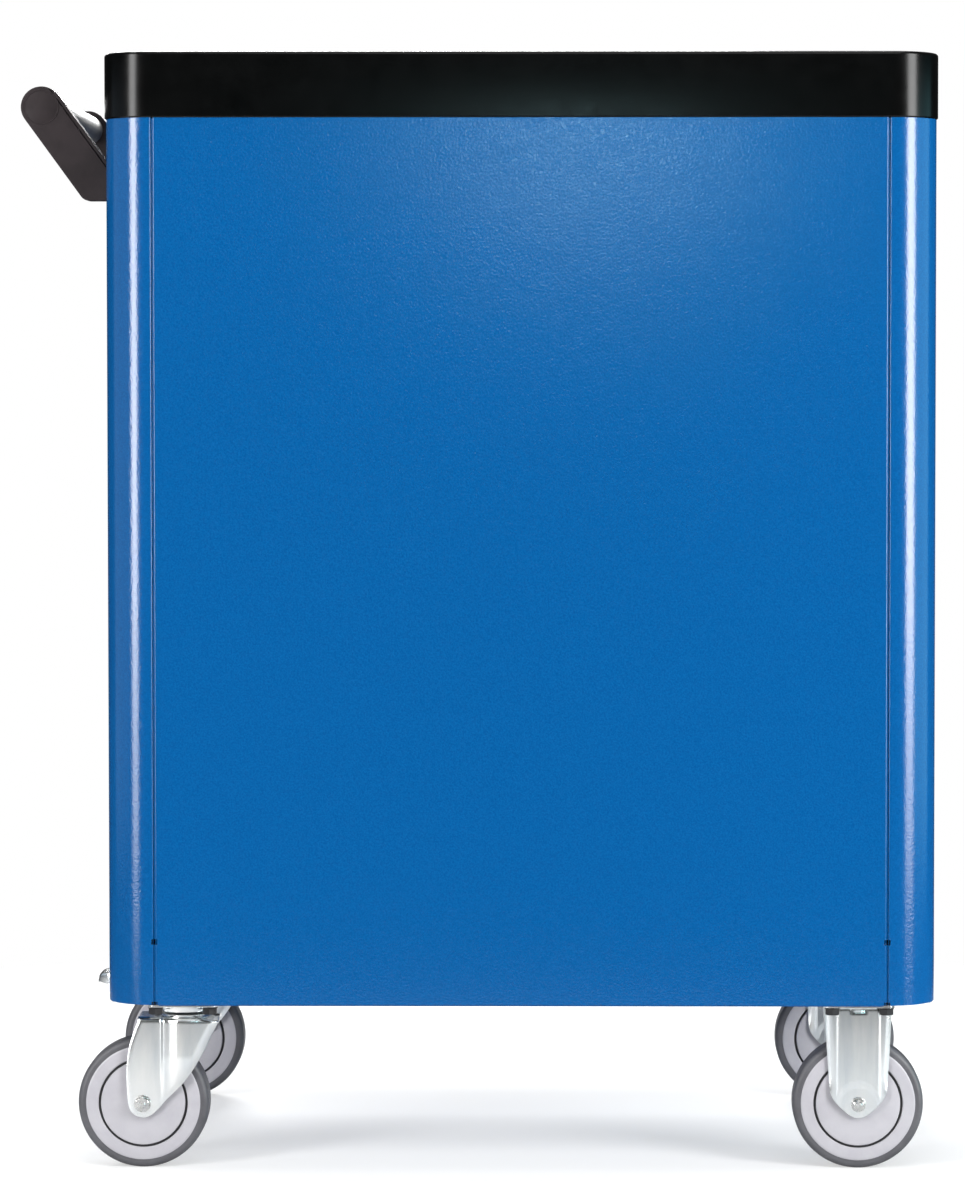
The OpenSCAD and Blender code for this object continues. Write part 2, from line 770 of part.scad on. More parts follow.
handle_side_wall();
plain_side_wall();
rear_panel();
base_frame();
top_frame();
slide_posts();
cabinet_slides();
top_tray();
tray_mat();
handle_bracket_rear();
handle_bracket_front();
handle_tube();
handle_end_caps();
handle_screws();
lock_housing();
lock_barrel();
lock_cam();
lock_bar();
fixed_bracket_rear();
fixed_bracket_front();
fixed_axles();
swivel_plates();
caster_bolts();
swivel_fork_rear();
swivel_fork_front();
swivel_axle_rear();
swivel_axle_front();
brake_pedal();
for (w = [["rear_swivel", 1, 1, trail], ["front_swivel", 1, -1, trail],
          ["rear_fixed", -1, 1, 0], ["front_fixed", -1, -1, 0]]) {
    tyre(w[1], w[2], w[3]);
    rim(w[1], w[2], w[3]);
}
for (n = [1 : drawer_count]) {
    drawer_box(n);
    drawer_front(n);
    drawer_runners(n);
    drawer_middle_slides(n);
}
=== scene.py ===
"""The looks of a rolling tool chest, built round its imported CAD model.

Lengths are in metres, in the model's frame: +Z up, drawers towards -Y, handle towards +X.
"""

import math

import bmesh
import bpy
from mathutils import Matrix, Vector


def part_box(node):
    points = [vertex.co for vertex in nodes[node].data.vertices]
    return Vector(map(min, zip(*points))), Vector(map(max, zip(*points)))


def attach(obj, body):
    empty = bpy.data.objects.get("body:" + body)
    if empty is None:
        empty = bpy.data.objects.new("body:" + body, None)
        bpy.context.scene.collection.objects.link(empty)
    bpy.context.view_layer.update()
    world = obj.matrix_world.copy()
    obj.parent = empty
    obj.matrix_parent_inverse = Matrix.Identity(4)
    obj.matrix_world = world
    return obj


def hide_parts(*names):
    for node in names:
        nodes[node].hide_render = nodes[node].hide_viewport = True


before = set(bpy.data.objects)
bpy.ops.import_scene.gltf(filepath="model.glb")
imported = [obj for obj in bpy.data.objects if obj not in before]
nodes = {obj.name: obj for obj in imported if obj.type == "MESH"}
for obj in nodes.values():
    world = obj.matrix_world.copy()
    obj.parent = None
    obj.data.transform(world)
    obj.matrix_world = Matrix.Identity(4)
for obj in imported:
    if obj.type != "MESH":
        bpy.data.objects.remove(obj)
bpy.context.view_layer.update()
MM = 0.001

# ---------- places and sizes, from the frame ----------

plain_low, plain_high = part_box("plain_side_wall")
grip_low, grip_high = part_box("handle_side_wall")
tray_low, tray_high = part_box("top_tray")
mat_low, mat_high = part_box("tray_mat")
MID_X = (plain_low.x + grip_high.x) / 2
HALF_W = (grip_high.x - plain_low.x) / 2
HALF_D = plain_high.y
BODY_Z0, BODY_Z1 = plain_low.z, plain_high.z
WALL_EDGE = grip_low.x - MID_X
PANEL_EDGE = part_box("rear_panel")[1].x - MID_X
BASE_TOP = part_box("base_frame")[1].z
DRAWERS = range(1, 7)
WHEELS = ("rear_swivel", "front_swivel", "rear_fixed", "front_fixed")

# ---------- sizes of the cabinet's sheet metal ----------
# At a seam a side sheet folds back RETURN_D and the panel PANEL_RETURN_D. The seams' cuts go
# SEAM_CUT deep, in the SEAM_FLAT strip beside each fold: a notch, and a relief at the foot.

CORNER_R = 44 * MM
SHEET = 1.2 * MM
BEND_R = 1.4 * MM
RETURN_D = 25 * MM
PANEL_RETURN_D = 18 * MM
NOTCH = 5 * MM
SEAM_CUT = 3 * MM
SEAM_FLAT = 2 * MM
SHEET_EDGE = 0.35 * MM


# ---------- materials ----------

def add_node(tree, kind, values=(), **links):
    """A shader node of a kind, with values set on its inputs and links made into them."""
    node = tree.nodes.new("ShaderNode" + kind)
    for name, value in dict(values).items():
        node.inputs[name].default_value = value
    for name, source in links.items():
        tree.links.new(source, node.inputs[name])
    return node


def new_material(name):
    """An empty node material, its node tree, its shader and its object-space coordinates."""
    material = bpy.data.materials.new(name)
    material.use_nodes = True
    tree = material.node_tree
    coords = add_node(tree, "TexCoord").outputs["Object"]
    return material, tree, tree.nodes["Principled BSDF"], coords


def noise(tree, coords, scale, detail=2.0, rough=0.5, stretch=None):
    """A noise texture's factor; stretch squeezes the coordinates first."""
    if stretch:
        coords = add_node(tree, "Mapping", {"Scale": stretch}, Vector=coords).outputs["Vector"]
    values = {"Scale": scale, "Detail": detail, "Roughness": rough}
    return add_node(tree, "TexNoise", values, Vector=coords).outputs["Fac"]


def remap(tree, value, from_low, from_high, to_low, to_high):
    """The value, moved from one range to another."""
    values = {"From Min": from_low, "From Max": from_high, "To Min": to_low, "To Max": to_high}
    return add_node(tree, "MapRange", values, Value=value).outputs["Result"]


def blend_colours(tree, factor, low, high):
    """A colour between two, by a factor."""
    ramp = add_node(tree, "ValToRGB", Fac=factor)
    for element, colour in zip(ramp.color_ramp.elements, (low, high)):
        element.color = (*colour, 1)
    return ramp.outputs["Color"]


def tint(tree, shader, cloud, low, high):
    """Colours a shader between two tones by a noise."""
    factor = remap(tree, cloud, 0.35, 0.65, 0, 1)
    tree.links.new(blend_colours(tree, factor, low, high), shader.inputs["Base Color"])


def vary_gloss(tree, shader, drift, low, high):
    """Moves a shader's roughness between two values by a noise."""
    tree.links.new(remap(tree, drift, 0.3, 0.7, low, high), shader.inputs["Roughness"])


def bump(tree, shader, height, strength, distance):
    """Adds relief to a shader from a height."""
    node = add_node(tree, "Bump", {"Strength": strength, "Distance": distance}, Height=height)
    tree.links.new(node.outputs["Normal"], shader.inputs["Normal"])


def powder_coat(name, low, high, roughness):
    """Baked powder paint: fine orange peel, fine flecks and a slow drift of gloss."""
    material, tree, shader, coords = new_material(name)
    tint(tree, shader, noise(tree, coords, 620, detail=3, rough=0.7), low, high)
    drift = noise(tree, coords, 260)
    vary_gloss(tree, shader, drift, roughness - 0.03, roughness + 0.05)
    bump(tree, shader, noise(tree, coords, 480, detail=1), strength=0.36, distance=0.35 * MM)
    return material


def moulded(name, low, high, roughness, grain=900, relief=0.25, gloss=0.5):
    """Moulded plastic or rubber with a fine grain and a faint cloudiness."""
    material, tree, shader, coords = new_material(name)
    shader.inputs["Specular IOR Level"].default_value = gloss
    tint(tree, shader, noise(tree, coords, 35, detail=4, rough=0.6), low, high)
    drift = noise(tree, coords, 60, detail=3)
    vary_gloss(tree, shader, drift, roughness * 0.92, roughness * 1.12)
    texture = noise(tree, coords, grain, detail=3, rough=0.65)
    bump(tree, shader, texture, strength=relief, distance=0.15 * MM)
    return material


def plated(name, low, high, roughness, metallic=1.0, stretch=(1, 1, 1), wave=0.12, drift=0.08,
           cloud_stretch=None):
    """Plated or brushed metal: a cloudy tint, fine streaks, a slightly uneven surface."""
    material, tree, shader, coords = new_material(name)
    shader.inputs["Metallic"].default_value = metallic
    cloud = noise(tree, coords, 28, detail=3, rough=0.6, stretch=cloud_stretch)
    tint(tree, shader, cloud, low, high)
    streaks = noise(tree, coords, 420, detail=4, rough=0.6, stretch=stretch)
    vary_gloss(tree, shader, streaks, roughness - drift, roughness + drift)
    surface = noise(tree, coords, 75, stretch=stretch)
    bump(tree, shader, surface, strength=wave, distance=0.4 * MM)
    return material


BLUE = powder_coat("blue_powder_coat", (0.0006, 0.0615, 0.2095), (0.002, 0.0845, 0.2575), 0.15)
DARK_COAT = powder_coat("dark_powder_coat", (0.03, 0.03, 0.033), (0.05, 0.05, 0.054), 0.5)
TRAY_BLACK = moulded("black_tray_plastic", (0.0006, 0.0007, 0.0007), (0.0012, 0.0013, 0.0013),
                     0.22, grain=900, relief=0.05, gloss=0.19)
BRACKET_BLACK = moulded("bracket_plastic", (0.0145, 0.0105, 0.0115), (0.0235, 0.0175, 0.019),
                        0.6, grain=700, relief=0.35, gloss=0.2)
MAT_RUBBER = moulded("mat_rubber", (0.018, 0.018, 0.019), (0.03, 0.03, 0.031),
                     0.75, grain=1200, relief=0.4)
TYRE_GREY = moulded("tyre_rubber", (0.058, 0.057, 0.064), (0.082, 0.081, 0.09),
                    0.5, grain=500, relief=0.2)
RIM_GREY = moulded("rim_plastic", (0.34, 0.33, 0.357), (0.38, 0.37, 0.395),
                   0.4, grain=400, relief=0.08)
# Near-black for a ring in the wheels' grooves: painted shade, where the narrow gap is dark.
GROOVE_SHADE_BLACK = moulded("groove_painted_shade", (0.004, 0.004, 0.005), (0.008, 0.008, 0.009), 0.6)
ZINC = plated("bright_zinc", (0.74, 0.78, 0.8), (0.96, 0.96, 0.94), 0.22, stretch=(6, 6, 1),
              wave=0.01, drift=0.02, cloud_stretch=(1.8, 1.8, 0.25))
SLIDE_STEEL = plated("slide_steel", (0.58, 0.6, 0.62), (0.7, 0.71, 0.71), 0.33,
                     stretch=(40, 1, 40), wave=0.05)
BLACK_OXIDE = plated("black_oxide", (0.012, 0.012, 0.013), (0.03, 0.03, 0.032), 0.4,
                     metallic=0.7)
GRIP_SATIN = plated("satin_grip", (0.17, 0.165, 0.16), (0.25, 0.245, 0.24), 0.5, metallic=0.25)
AXLE_ZINC = plated("axle_zinc", (0.55, 0.55, 0.54), (0.8, 0.79, 0.77), 0.26)
LOCK_CHROME = plated("satin_chrome", (0.6, 0.6, 0.6), (0.72, 0.72, 0.72), 0.22)


# ---------- mesh tools ----------

def add_object(name, data):
    """An object in the scene for a mesh, a light or a camera."""
    added = bpy.data.objects.new(name, data)
    bpy.context.scene.collection.objects.link(added)
    return added


def link_object(name, mesh, material, angle):
    """An object for a mesh, smooth but for edges sharper than an angle."""
    piece = add_object(name, mesh)
    mesh.materials.append(material)
    mesh.shade_smooth()
    mesh.set_sharp_from_angle(angle=math.radians(angle))
    return piece


class Shape:
    """Vertices and faces collected from several closed parts."""

    def __init__(self):
        self.verts, self.faces = [], []

    def add(self, verts, faces):
        start = len(self.verts)
        self.verts += verts
        self.faces += [[start + i for i in face] for face in faces]
        return self

    def piece(self, name, body, material, slot, replaced=(), bevel=0.0, segments=2, angle=32):
        """Makes a piece of the parts, its edges rounded, riding on a body."""
        mesh = bpy.data.meshes.new(name)
        mesh.from_pydata([tuple(v) for v in self.verts], [], self.faces)
        work = bmesh.new()
        work.from_mesh(mesh)
        bmesh.ops.remove_doubles(work, verts=work.verts, dist=1e-6)
        bmesh.ops.recalc_face_normals(work, faces=work.faces)
        work.to_mesh(mesh)
        work.free()
        piece = link_object(name, mesh, material, angle)
        if bevel:
            rounding = piece.modifiers.new("edges", "BEVEL")
            rounding.width = bevel
            rounding.segments = segments
            rounding.limit_method = "ANGLE"
            rounding.angle_limit = math.radians(angle)
            rounding.harden_normals = True
        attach(piece, body)
        if replaced:
            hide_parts(*replaced)


def loft(rings, closed_loop=False):
    """Quads between successive rings of equal length, capped unless the rings close a loop."""
    size = len(rings[0])
    verts = [v for ring in rings for v in ring]
    count = len(rings) if closed_loop else len(rings) - 1
    faces = []
    for k in range(count):
        a, b = k * size, (k + 1) % len(rings) * size
        faces += [[a + i, a + (i + 1) % size, b + (i + 1) % size, b + i] for i in range(size)]
    if not closed_loop:
        faces += [list(range(size))[::-1], [len(verts) - size + i for i in range(size)]]
    return verts, faces


def prism(outline, low, high, place=lambda u, v, w: (u, v, w)):
    """An outline of (u, v) points drawn out from low to high; place turns u, v, w to a point."""
    return loft([[place(u, v, w) for u, v in outline] for w in (low, high)])


def block(low, high):
    """A box between two corners."""
    outline = [(low[0], low[1]), (high[0], low[1]), (high[0], high[1]), (low[0], high[1])]
    return prism(outline, low[2], high[2])


def turned(radius, angle, along, centre, axis):
    """The point at a radius, an angle and a distance along the axis through a centre."""
    u, v = radius * math.cos(angle), radius * math.sin(angle)
    return Vector(centre) + Vector((u, along, v) if axis == "Y" else (u, v, along))


def circle(count):
    """Evenly spaced angles round a circle."""
    return [2 * math.pi * k / count for k in range(count)]


def lathe(profile, centre, axis, segments):
    """A closed ring of (radius, along) points turned about an axis through a centre."""
    rings = [[turned(radius, angle, along, centre, axis) for radius, along in profile]
             for angle in circle(segments)]
    return loft(rings, closed_loop=True)


def disc(radius, low, high, centre, axis="Y", chamfer=0.0, segments=48):
    """A short solid cylinder, its rims chamfered if asked."""
    levels = [(radius, low), (radius, high)]
    if chamfer:
        levels = [(radius - chamfer, low), (radius, low + chamfer),
                  (radius, high - chamfer), (radius - chamfer, high)]
    return loft([[turned(r, angle, along, centre, axis) for angle in circle(segments)]
                 for r, along in levels])


def hex_head(across, low, high, centre, axis="Y"):
    """A hexagonal head or nut whose outer corners are turned down to a cone."""
    flat, chamfer = across / 2, 0.6 * MM
    crown = high - chamfer if high > low else high + chamfer
    rings = []
    for along, drop in ((low, 0), (crown, 0), (high, chamfer * 1.4)):
        ring = []
        for angle in circle(48):
            from_flat = (angle + math.pi / 6) % (math.pi / 3) - math.pi / 6
            radius = flat / math.cos(from_flat)
            if drop:
                radius = min(radius, flat * 1.02) - drop * 0.5
            ring.append(turned(radius, angle, along, centre, axis))
        rings.append(ring)
    return loft(rings)


def spread(low, high, count):
    """Evenly spaced values from low to high."""
    return [low + (high - low) * k / (count - 1) for k in range(count)]


def quarter(radius, steps=5):
    """(inset, drop) pairs along a rounded edge, from the flat to the wall."""
    return [(radius * (1 - math.sin(a)), radius * (1 - math.cos(a)))
            for a in (math.pi / 2 * k / steps for k in range(steps + 1))]


def rounded_path(corners, step):
    """A path through (x, y, radius) corners, each an arc with a point every so many degrees."""
    points = []
    for k, (x, y, radius) in enumerate(corners):
        here = Vector((x, y))
        if radius == 0 or k in (0, len(corners) - 1):
            points.append(here)
            continue
        back = (Vector(corners[k - 1][:2]) - here).normalized()
        ahead = (Vector(corners[k + 1][:2]) - here).normalized()
        half = math.acos(max(-1, min(1, back.dot(ahead)))) / 2
        reach = radius / math.tan(half)
        centre = here + (back + ahead).normalized() * (radius / math.sin(half))
        start, end = here + back * reach - centre, here + ahead * reach - centre
        sweep = start.angle_signed(end)
        count = max(2, round(abs(sweep) / math.radians(step)))
        for i in range(count + 1):
            turn = -sweep * i / count
            points.append(centre + Matrix.Rotation(turn, 2) @ start)
    return points


def rounded_rectangle(half_x, half_y, radius, per_corner=12):
    """The points of a rectangle with round corners, centred, anticlockwise."""
    points = []
    for sx, sy, first in ((1, 1, 0), (-1, 1, 90), (-1, -1, 180), (1, -1, 270)):
        for k in range(per_corner + 1):
            angle = math.radians(first + 90 * k / per_corner)
            points.append((sx * (half_x - radius) + radius * math.cos(angle),
                           sy * (half_y - radius) + radius * math.sin(angle)))
    return points


def sheet(path, levels, thickness, cut=None):
    """Sheet metal: a path in plan with its outer face on the right, drawn up through levels.

    Cells whose middle lies in a cut are left out."""
    outer, inner = path, []
    for k, p in enumerate(path):
        along = (path[min(k + 1, len(path) - 1)] - path[max(k - 1, 0)]).normalized()
        before = (p - path[k - 1]).normalized() if k else None
        after = (path[k + 1] - p).normalized() if k < len(path) - 1 else None
        half = before.angle(after) / 2 if before and after else 0
        inner.append(p - Vector((along.y, -along.x)) * thickness / math.cos(half))
    columns, rows = len(path), len(levels)

    def index(side, k, j):
        return side * columns * rows + k * rows + j

    verts = [Vector((p.x, p.y, z)) for line in (outer, inner) for p in line for z in levels]
    kept = {(k, j) for k in range(columns - 1) for j in range(rows - 1)
            if not (cut and cut((outer[k] + outer[k + 1]) / 2, (levels[j] + levels[j + 1]) / 2))}
    faces = []
    for k, j in kept:
        for side in (0, 1):
            quad = [index(side, k, j), index(side, k + 1, j),
                    index(side, k + 1, j + 1), index(side, k, j + 1)]
            faces.append(quad if side == 0 else quad[::-1])
        for dk, dj, a, b in ((-1, 0, (k, j), (k, j + 1)), (1, 0, (k + 1, j), (k + 1, j + 1)),
                             (0, -1, (k, j), (k + 1, j)), (0, 1, (k, j + 1), (k + 1, j + 1))):
            if (k + dk, j + dj) not in kept:
                faces.append([index(0, *a), index(0, *b), index(1, *b), index(1, *a)])
    return verts, faces


# ---------- cabinet ----------

WALL_LEVELS = [BODY_Z0, BODY_Z0 + SEAM_CUT, BASE_TOP - NOTCH / 2, BASE_TOP + NOTCH / 2, BODY_Z1]


def seam_cut(point, z):
    """Where the seams' notches and the reliefs at their lower ends leave the sheet away."""
    seam_x = (WALL_EDGE + PANEL_EDGE) / 2
    near = abs(abs(point.x - MID_X) - seam_x) < NOTCH / 2 and point.y > HALF_D - SEAM_CUT
    return near and (abs(z - BASE_TOP) < NOTCH / 2 or z < BODY_Z0 + SEAM_CUT)


def side_wall(side, name):
    """A side sheet with its two round corners, folded back at the front and rear seams."""
    corners = [(WALL_EDGE, -HALF_D + RETURN_D, 0), (WALL_EDGE, -HALF_D, BEND_R),
               (WALL_EDGE + SEAM_FLAT, -HALF_D, 0),
               (HALF_W, -HALF_D, CORNER_R), (HALF_W, HALF_D, CORNER_R),
               (WALL_EDGE + SEAM_FLAT, HALF_D, 0), (WALL_EDGE, HALF_D, BEND_R),
               (WALL_EDGE, HALF_D - SEAM_CUT, 0), (WALL_EDGE, HALF_D - RETURN_D, 0)]
    path = rounded_path(corners, 4)
    if side < 0:
        path = [Vector((-p.x, p.y)) for p in reversed(path)]
    path = [p + Vector((MID_X, 0)) for p in path]
    shape = Shape().add(*sheet(path, WALL_LEVELS, SHEET, seam_cut))
    shape.piece(name + "_sheet", "cabinet", BLUE, "body_paint", replaced=[name], bevel=SHEET_EDGE)


def rear_panel():
    """The flat panel between the seams, folded in at both, with a lap behind each seam."""
    edge, flat = PANEL_EDGE, PANEL_EDGE - SEAM_FLAT
    corners = [(edge, HALF_D - PANEL_RETURN_D, 0), (edge, HALF_D - SEAM_CUT, 0),
               (edge, HALF_D, BEND_R), (flat, HALF_D, 0),
               (-flat, HALF_D, 0), (-edge, HALF_D, BEND_R),
               (-edge, HALF_D - SEAM_CUT, 0), (-edge, HALF_D - PANEL_RETURN_D, 0)]
    path = [p + Vector((MID_X, 0)) for p in rounded_path(corners, 15)]
    shape = Shape().add(*sheet(path, WALL_LEVELS, SHEET, seam_cut))
    tuck, lap_back, lap_face = 0.3 * MM, HALF_D - 3.2 * MM, HALF_D - 1.3 * MM
    for side in (-1, 1):
        near, far = sorted((MID_X + side * (PANEL_EDGE - tuck), MID_X + side * (WALL_EDGE - tuck)))
        for start, end in ((BODY_Z0 + SEAM_CUT, BASE_TOP - NOTCH / 2),
                           (BASE_TOP + NOTCH / 2, BODY_Z1 - MM)):
            shape.add(*block((near, lap_back, start), (far, lap_face, end)))
    shape.piece("rear_panel_sheet", "cabinet", BLUE, "body_paint", replaced=["rear_panel"],
                bevel=SHEET_EDGE)


def keep_node(name, material):
    """A CAD node whose shape is right keeps it, and gets its material."""
    node = nodes[name]
    node.data.materials.clear()
    node.data.materials.append(material)


# ---------- tray ----------

def top_tray():
    """The moulded tray: a skirt, a rounded rim, a work area and a row of bins."""
    half_x, half_y = (tray_high.x - tray_low.x) / 2, tray_high.y
    corner = CORNER_R + (half_x - HALF_W)
    top, bottom = tray_high.z, tray_low.z
    rim_r, basin_r, floor_r = 3 * MM, 1.5 * MM, 4 * MM
    rim, wall = 24 * MM, 3.5 * MM
    draft = foot = 1.2 * MM
    work = bmesh.new()

    def ring(cx, cy, hx, hy, r, grow, z):
        outline = rounded_rectangle(hx + grow, hy + grow, max(r + grow, MM))
        return [Vector((cx + x, cy + y, z)) for x, y in outline]

    def add_rings(rings):
        """Faces between the rings and over the last one; returns the first one, left open."""
        loops = [[work.verts.new(p) for p in r] for r in rings]
        for a, b in zip(loops, loops[1:]):
            for i in range(len(a)):
                work.faces.new((a[i], a[(i + 1) % len(a)], b[(i + 1) % len(b)], b[i]))
        work.faces.new(loops[-1])
        return loops[0]

    outside = (MID_X, 0, half_x, half_y, corner)
    outer = [ring(*outside, -inset, top - drop) for inset, drop in quarter(rim_r)]
    outer += [ring(*outside, 0, bottom + foot), ring(*outside, -foot, bottom)]
    open_rings = [add_rings(outer)]

    in_x, in_y = HALF_W - rim - wall, HALF_D - rim
    split = mat_high.x + MM + wall - MID_X
    bin_count = 3
    bin_l = (2 * in_y - (bin_count - 1) * wall) / bin_count
    basins = [(-in_x, split - wall, -in_y, in_y, 20 * MM, mat_low.z)]
    for k in range(bin_count):
        y0 = -in_y + k * (bin_l + wall)
        basins.append((split, in_x, y0, y0 + bin_l, 14 * MM, bottom + 6 * MM))
    for x0, x1, y0, y1, r, floor in basins:
        inside = (MID_X + (x0 + x1) / 2, (y0 + y1) / 2, (x1 - x0) / 2, (y1 - y0) / 2, r)
        rings = [ring(*inside, inset, top - drop) for inset, drop in quarter(basin_r)]
        rings += [ring(*inside, -draft - inset, floor + drop)
                  for inset, drop in reversed(quarter(floor_r))]
        open_rings.append(add_rings(rings))
    rim_edges = [work.edges.get((loop[i], loop[(i + 1) % len(loop)]))
                 for loop in open_rings for i in range(len(loop))]
    bmesh.ops.triangle_fill(work, use_beauty=True, use_dissolve=False, edges=rim_edges)
    bmesh.ops.recalc_face_normals(work, faces=work.faces)
    mesh = bpy.data.meshes.new("tray_moulding")
    work.to_mesh(mesh)
    work.free()
    tray = link_object("tray_moulding", mesh, TRAY_BLACK, 28)
    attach(tray, "cabinet")
    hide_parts("top_tray")


def tray_mat():
    """A rubber mat with fine ribs across the work area."""
    radius, pitch, rib_h, sunk = 18 * MM, 6 * MM, 0.9 * MM, 0.01 * MM
    rib = [(-1.5 * MM, 0), (-0.9 * MM, rib_h), (0.9 * MM, rib_h), (1.5 * MM, 0)]
    cx, cy = (mat_low.x + mat_high.x) / 2, (mat_low.y + mat_high.y) / 2
    hx, hy = (mat_high.x - mat_low.x) / 2 - 2 * MM, (mat_high.y - mat_low.y) / 2 - 2 * MM
    base = mat_high.z - rib_h
    outline = [(cx + x, cy + y) for x, y in rounded_rectangle(hx, hy, radius)]
    shape = Shape().add(*prism(outline, mat_low.z, base))
    count = int((2 * hx - 2 * radius * 0.3) / pitch)
    for k in range(count):
        x = cx + (k - (count - 1) / 2) * pitch
        reach = hy - 3 * MM
        into_corner = abs(x - cx) - (hx - radius)
        if into_corner > 0:
            reach -= radius - math.sqrt(max(0, radius ** 2 - into_corner ** 2))
        shape.add(*prism(rib, cy - reach, cy + reach,
                         lambda u, v, w, x=x: (x + u, w, base + v - sunk)))
    shape.piece("ribbed_mat", "cabinet", MAT_RUBBER, "mat_rubber", replaced=["tray_mat"],
                bevel=0.2 * MM, segments=1)


# ---------- handle ----------

def clipped(outline, side):
    """The part of a convex outline where side(point) is positive."""
    kept = []
    for here, after in zip(outline, outline[1:] + outline[:1]):
        a, b = side(here), side(after)
        if a > 0:
            kept.append(here)
        if a * b < 0:
            kept.append(here.lerp(after, a / (a - b)))
    return kept


def bracket_outline(centre, head_r, across, down, lean, wall_x, foot_z):
    """A bracket's outline in X and Z: a round head, two leaning edges, and a foot on the wall."""
    steps = 32
    head = [centre + (across * -math.cos(turn) - down * math.sin(turn)) * head_r
            for turn in (math.pi * k / steps for k in range(steps + 1))]
    outer, inner = centre + across * head_r, centre - across * head_r
    toe = outer + down * ((outer.y - foot_z) / math.cos(lean))
    inner_wall = inner + down * ((inner.x - wall_x) / math.sin(lean))
    foot = rounded_path([(*head[-1], 0), (*toe, 9 * MM), (wall_x, foot_z, 0)], 9)
    return head + foot[1:] + [inner_wall]


def handle():
    """Two leaning brackets with capped round heads, and the grip tube between them."""
    low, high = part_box("handle_bracket_rear")
    tube_low, tube_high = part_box("handle_tube")
    cap_low, cap_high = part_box("handle_end_caps")
    grip_x, grip_z = (tube_low.x + tube_high.x) / 2, (tube_low.z + tube_high.z) / 2
    centre, head_r, lean = Vector((grip_x, grip_z)), high.x - grip_x, math.radians(36)
    across = Vector((math.cos(lean), -math.sin(lean)))
    down = Vector((-math.sin(lean), -math.cos(lean)))
    whole = bracket_outline(centre, head_r, across, down, lean, low.x, low.z)

    groove_at, groove_w, plate, overlap = 2.8 * MM, 1.0 * MM, 2.2 * MM, 0.02 * MM

    def depth(p):
        return (p - centre).dot(across) + head_r

    lip = clipped(whole, lambda p: groove_at - depth(p))
    cover = clipped(whole, lambda p: depth(p) - groove_at - groove_w)
    cap_r = (cap_high.x - cap_low.x) / 2
    cap_profile = [(0, -1.0), (0, 0.02), (0.5, 0.45), (1.0, 0.45), (1.5, 0.05), (2.1, 0.05),
                   (2.6, 0.25)]
    for end, side in (("rear", 1), ("front", -1)):
        name = "handle_bracket_" + end
        low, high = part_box(name)
        outer_y, inner_y = (high.y, low.y) if side > 0 else (low.y, high.y)
        shape = Shape()
        for region, start, stop in ((whole, inner_y, outer_y - side * (plate - overlap)),
                                    (lip, outer_y - side * plate, outer_y),
                                    (cover, outer_y - side * plate, outer_y)):
            shape.add(*prism(region, start, stop, lambda u, v, w: (u, w, v)))
        shape.piece(name + "_moulding", "cabinet", BRACKET_BLACK, "handle_plastic",
                    replaced=[name], bevel=0.7 * MM, angle=40)
        rings = []
        for inset, along in cap_profile:
            r, y = cap_r - inset * MM, outer_y + side * along * MM
            rings.append([Vector((grip_x + r * math.cos(a), y, grip_z + r * math.sin(a)))
                          for a in circle(64)])
        Shape().add(*loft(rings)).piece("handle_cap_" + end, "cabinet", BRACKET_BLACK,
                                        "handle_plastic", replaced=["handle_end_caps"])
    tube_r = (tube_high.x - tube_low.x) / 2
    bore = tube_r - 2 * MM
    profile = [(bore, tube_low.y), (tube_r, tube_low.y), (tube_r, tube_high.y),
               (bore, tube_high.y)]
    Shape().add(*lathe(profile, (grip_x, 0, grip_z), "Y", 96)).piece(
        "grip_tube", "cabinet", GRIP_SATIN, "grip_tube", replaced=["handle_tube"],
        bevel=0.4 * MM)


# ---------- casters ----------

LEG_OUT, LEG_T = 21.5 * MM, 2.5 * MM  # a leg's outer face from the wheel's middle, its sheet
PLATE_HALF_X, PLATE_HALF_Y, PLATE_T = 33.5 * MM, 38.5 * MM, 2.5 * MM
BOLT_X, BOLT_Y = 25.75 * MM, 30.75 * MM
M8_HEX = 13 * MM


def curve(points):
    """A smooth function in metres through (position, value) points in millimetres."""
    places, values = [p[0] * MM for p in points], [p[1] * MM for p in points]
    slopes = []
    for k in range(len(points)):
        a, b = max(k - 1, 0), min(k + 1, len(points) - 1)
        slopes.append((values[b] - values[a]) / (places[b] - places[a]))

    def value(at):
        at = min(max(at, places[0]), places[-1])
        k = max(i for i in range(len(places) - 1) if places[i] <= at)
        gap = places[k + 1] - places[k]
        t = (at - places[k]) / gap
        return ((2 * t ** 3 - 3 * t ** 2 + 1) * values[k]
                + (t ** 3 - 2 * t ** 2 + t) * gap * slopes[k]
                + (3 * t ** 2 - 2 * t ** 3) * values[k + 1]
                + (t ** 3 - t ** 2) * gap * slopes[k + 1])
    return value


def step(value, low, high):
    """Rises smoothly from 0 to 1 between two values."""
    t = min(max((value - low) / (high - low), 0), 1)
    return t * t * (3 - 2 * t)


def shell(grid, thickness):
    """Pressed sheet from a grid of points on its outer face. Rows run along, columns across, and
    along x across points outwards."""
    rows, columns = len(grid), len(grid[0])

    def inward(i, j):
        along = grid[min(i + 1, rows - 1)][j] - grid[max(i - 1, 0)][j]
        across = grid[i][min(j + 1, columns - 1)] - grid[i][max(j - 1, 0)]
        return grid[i][j] - along.cross(across).normalized() * thickness

    return loft([grid[i] + [inward(i, j) for j in reversed(range(columns))] for i in range(rows)])


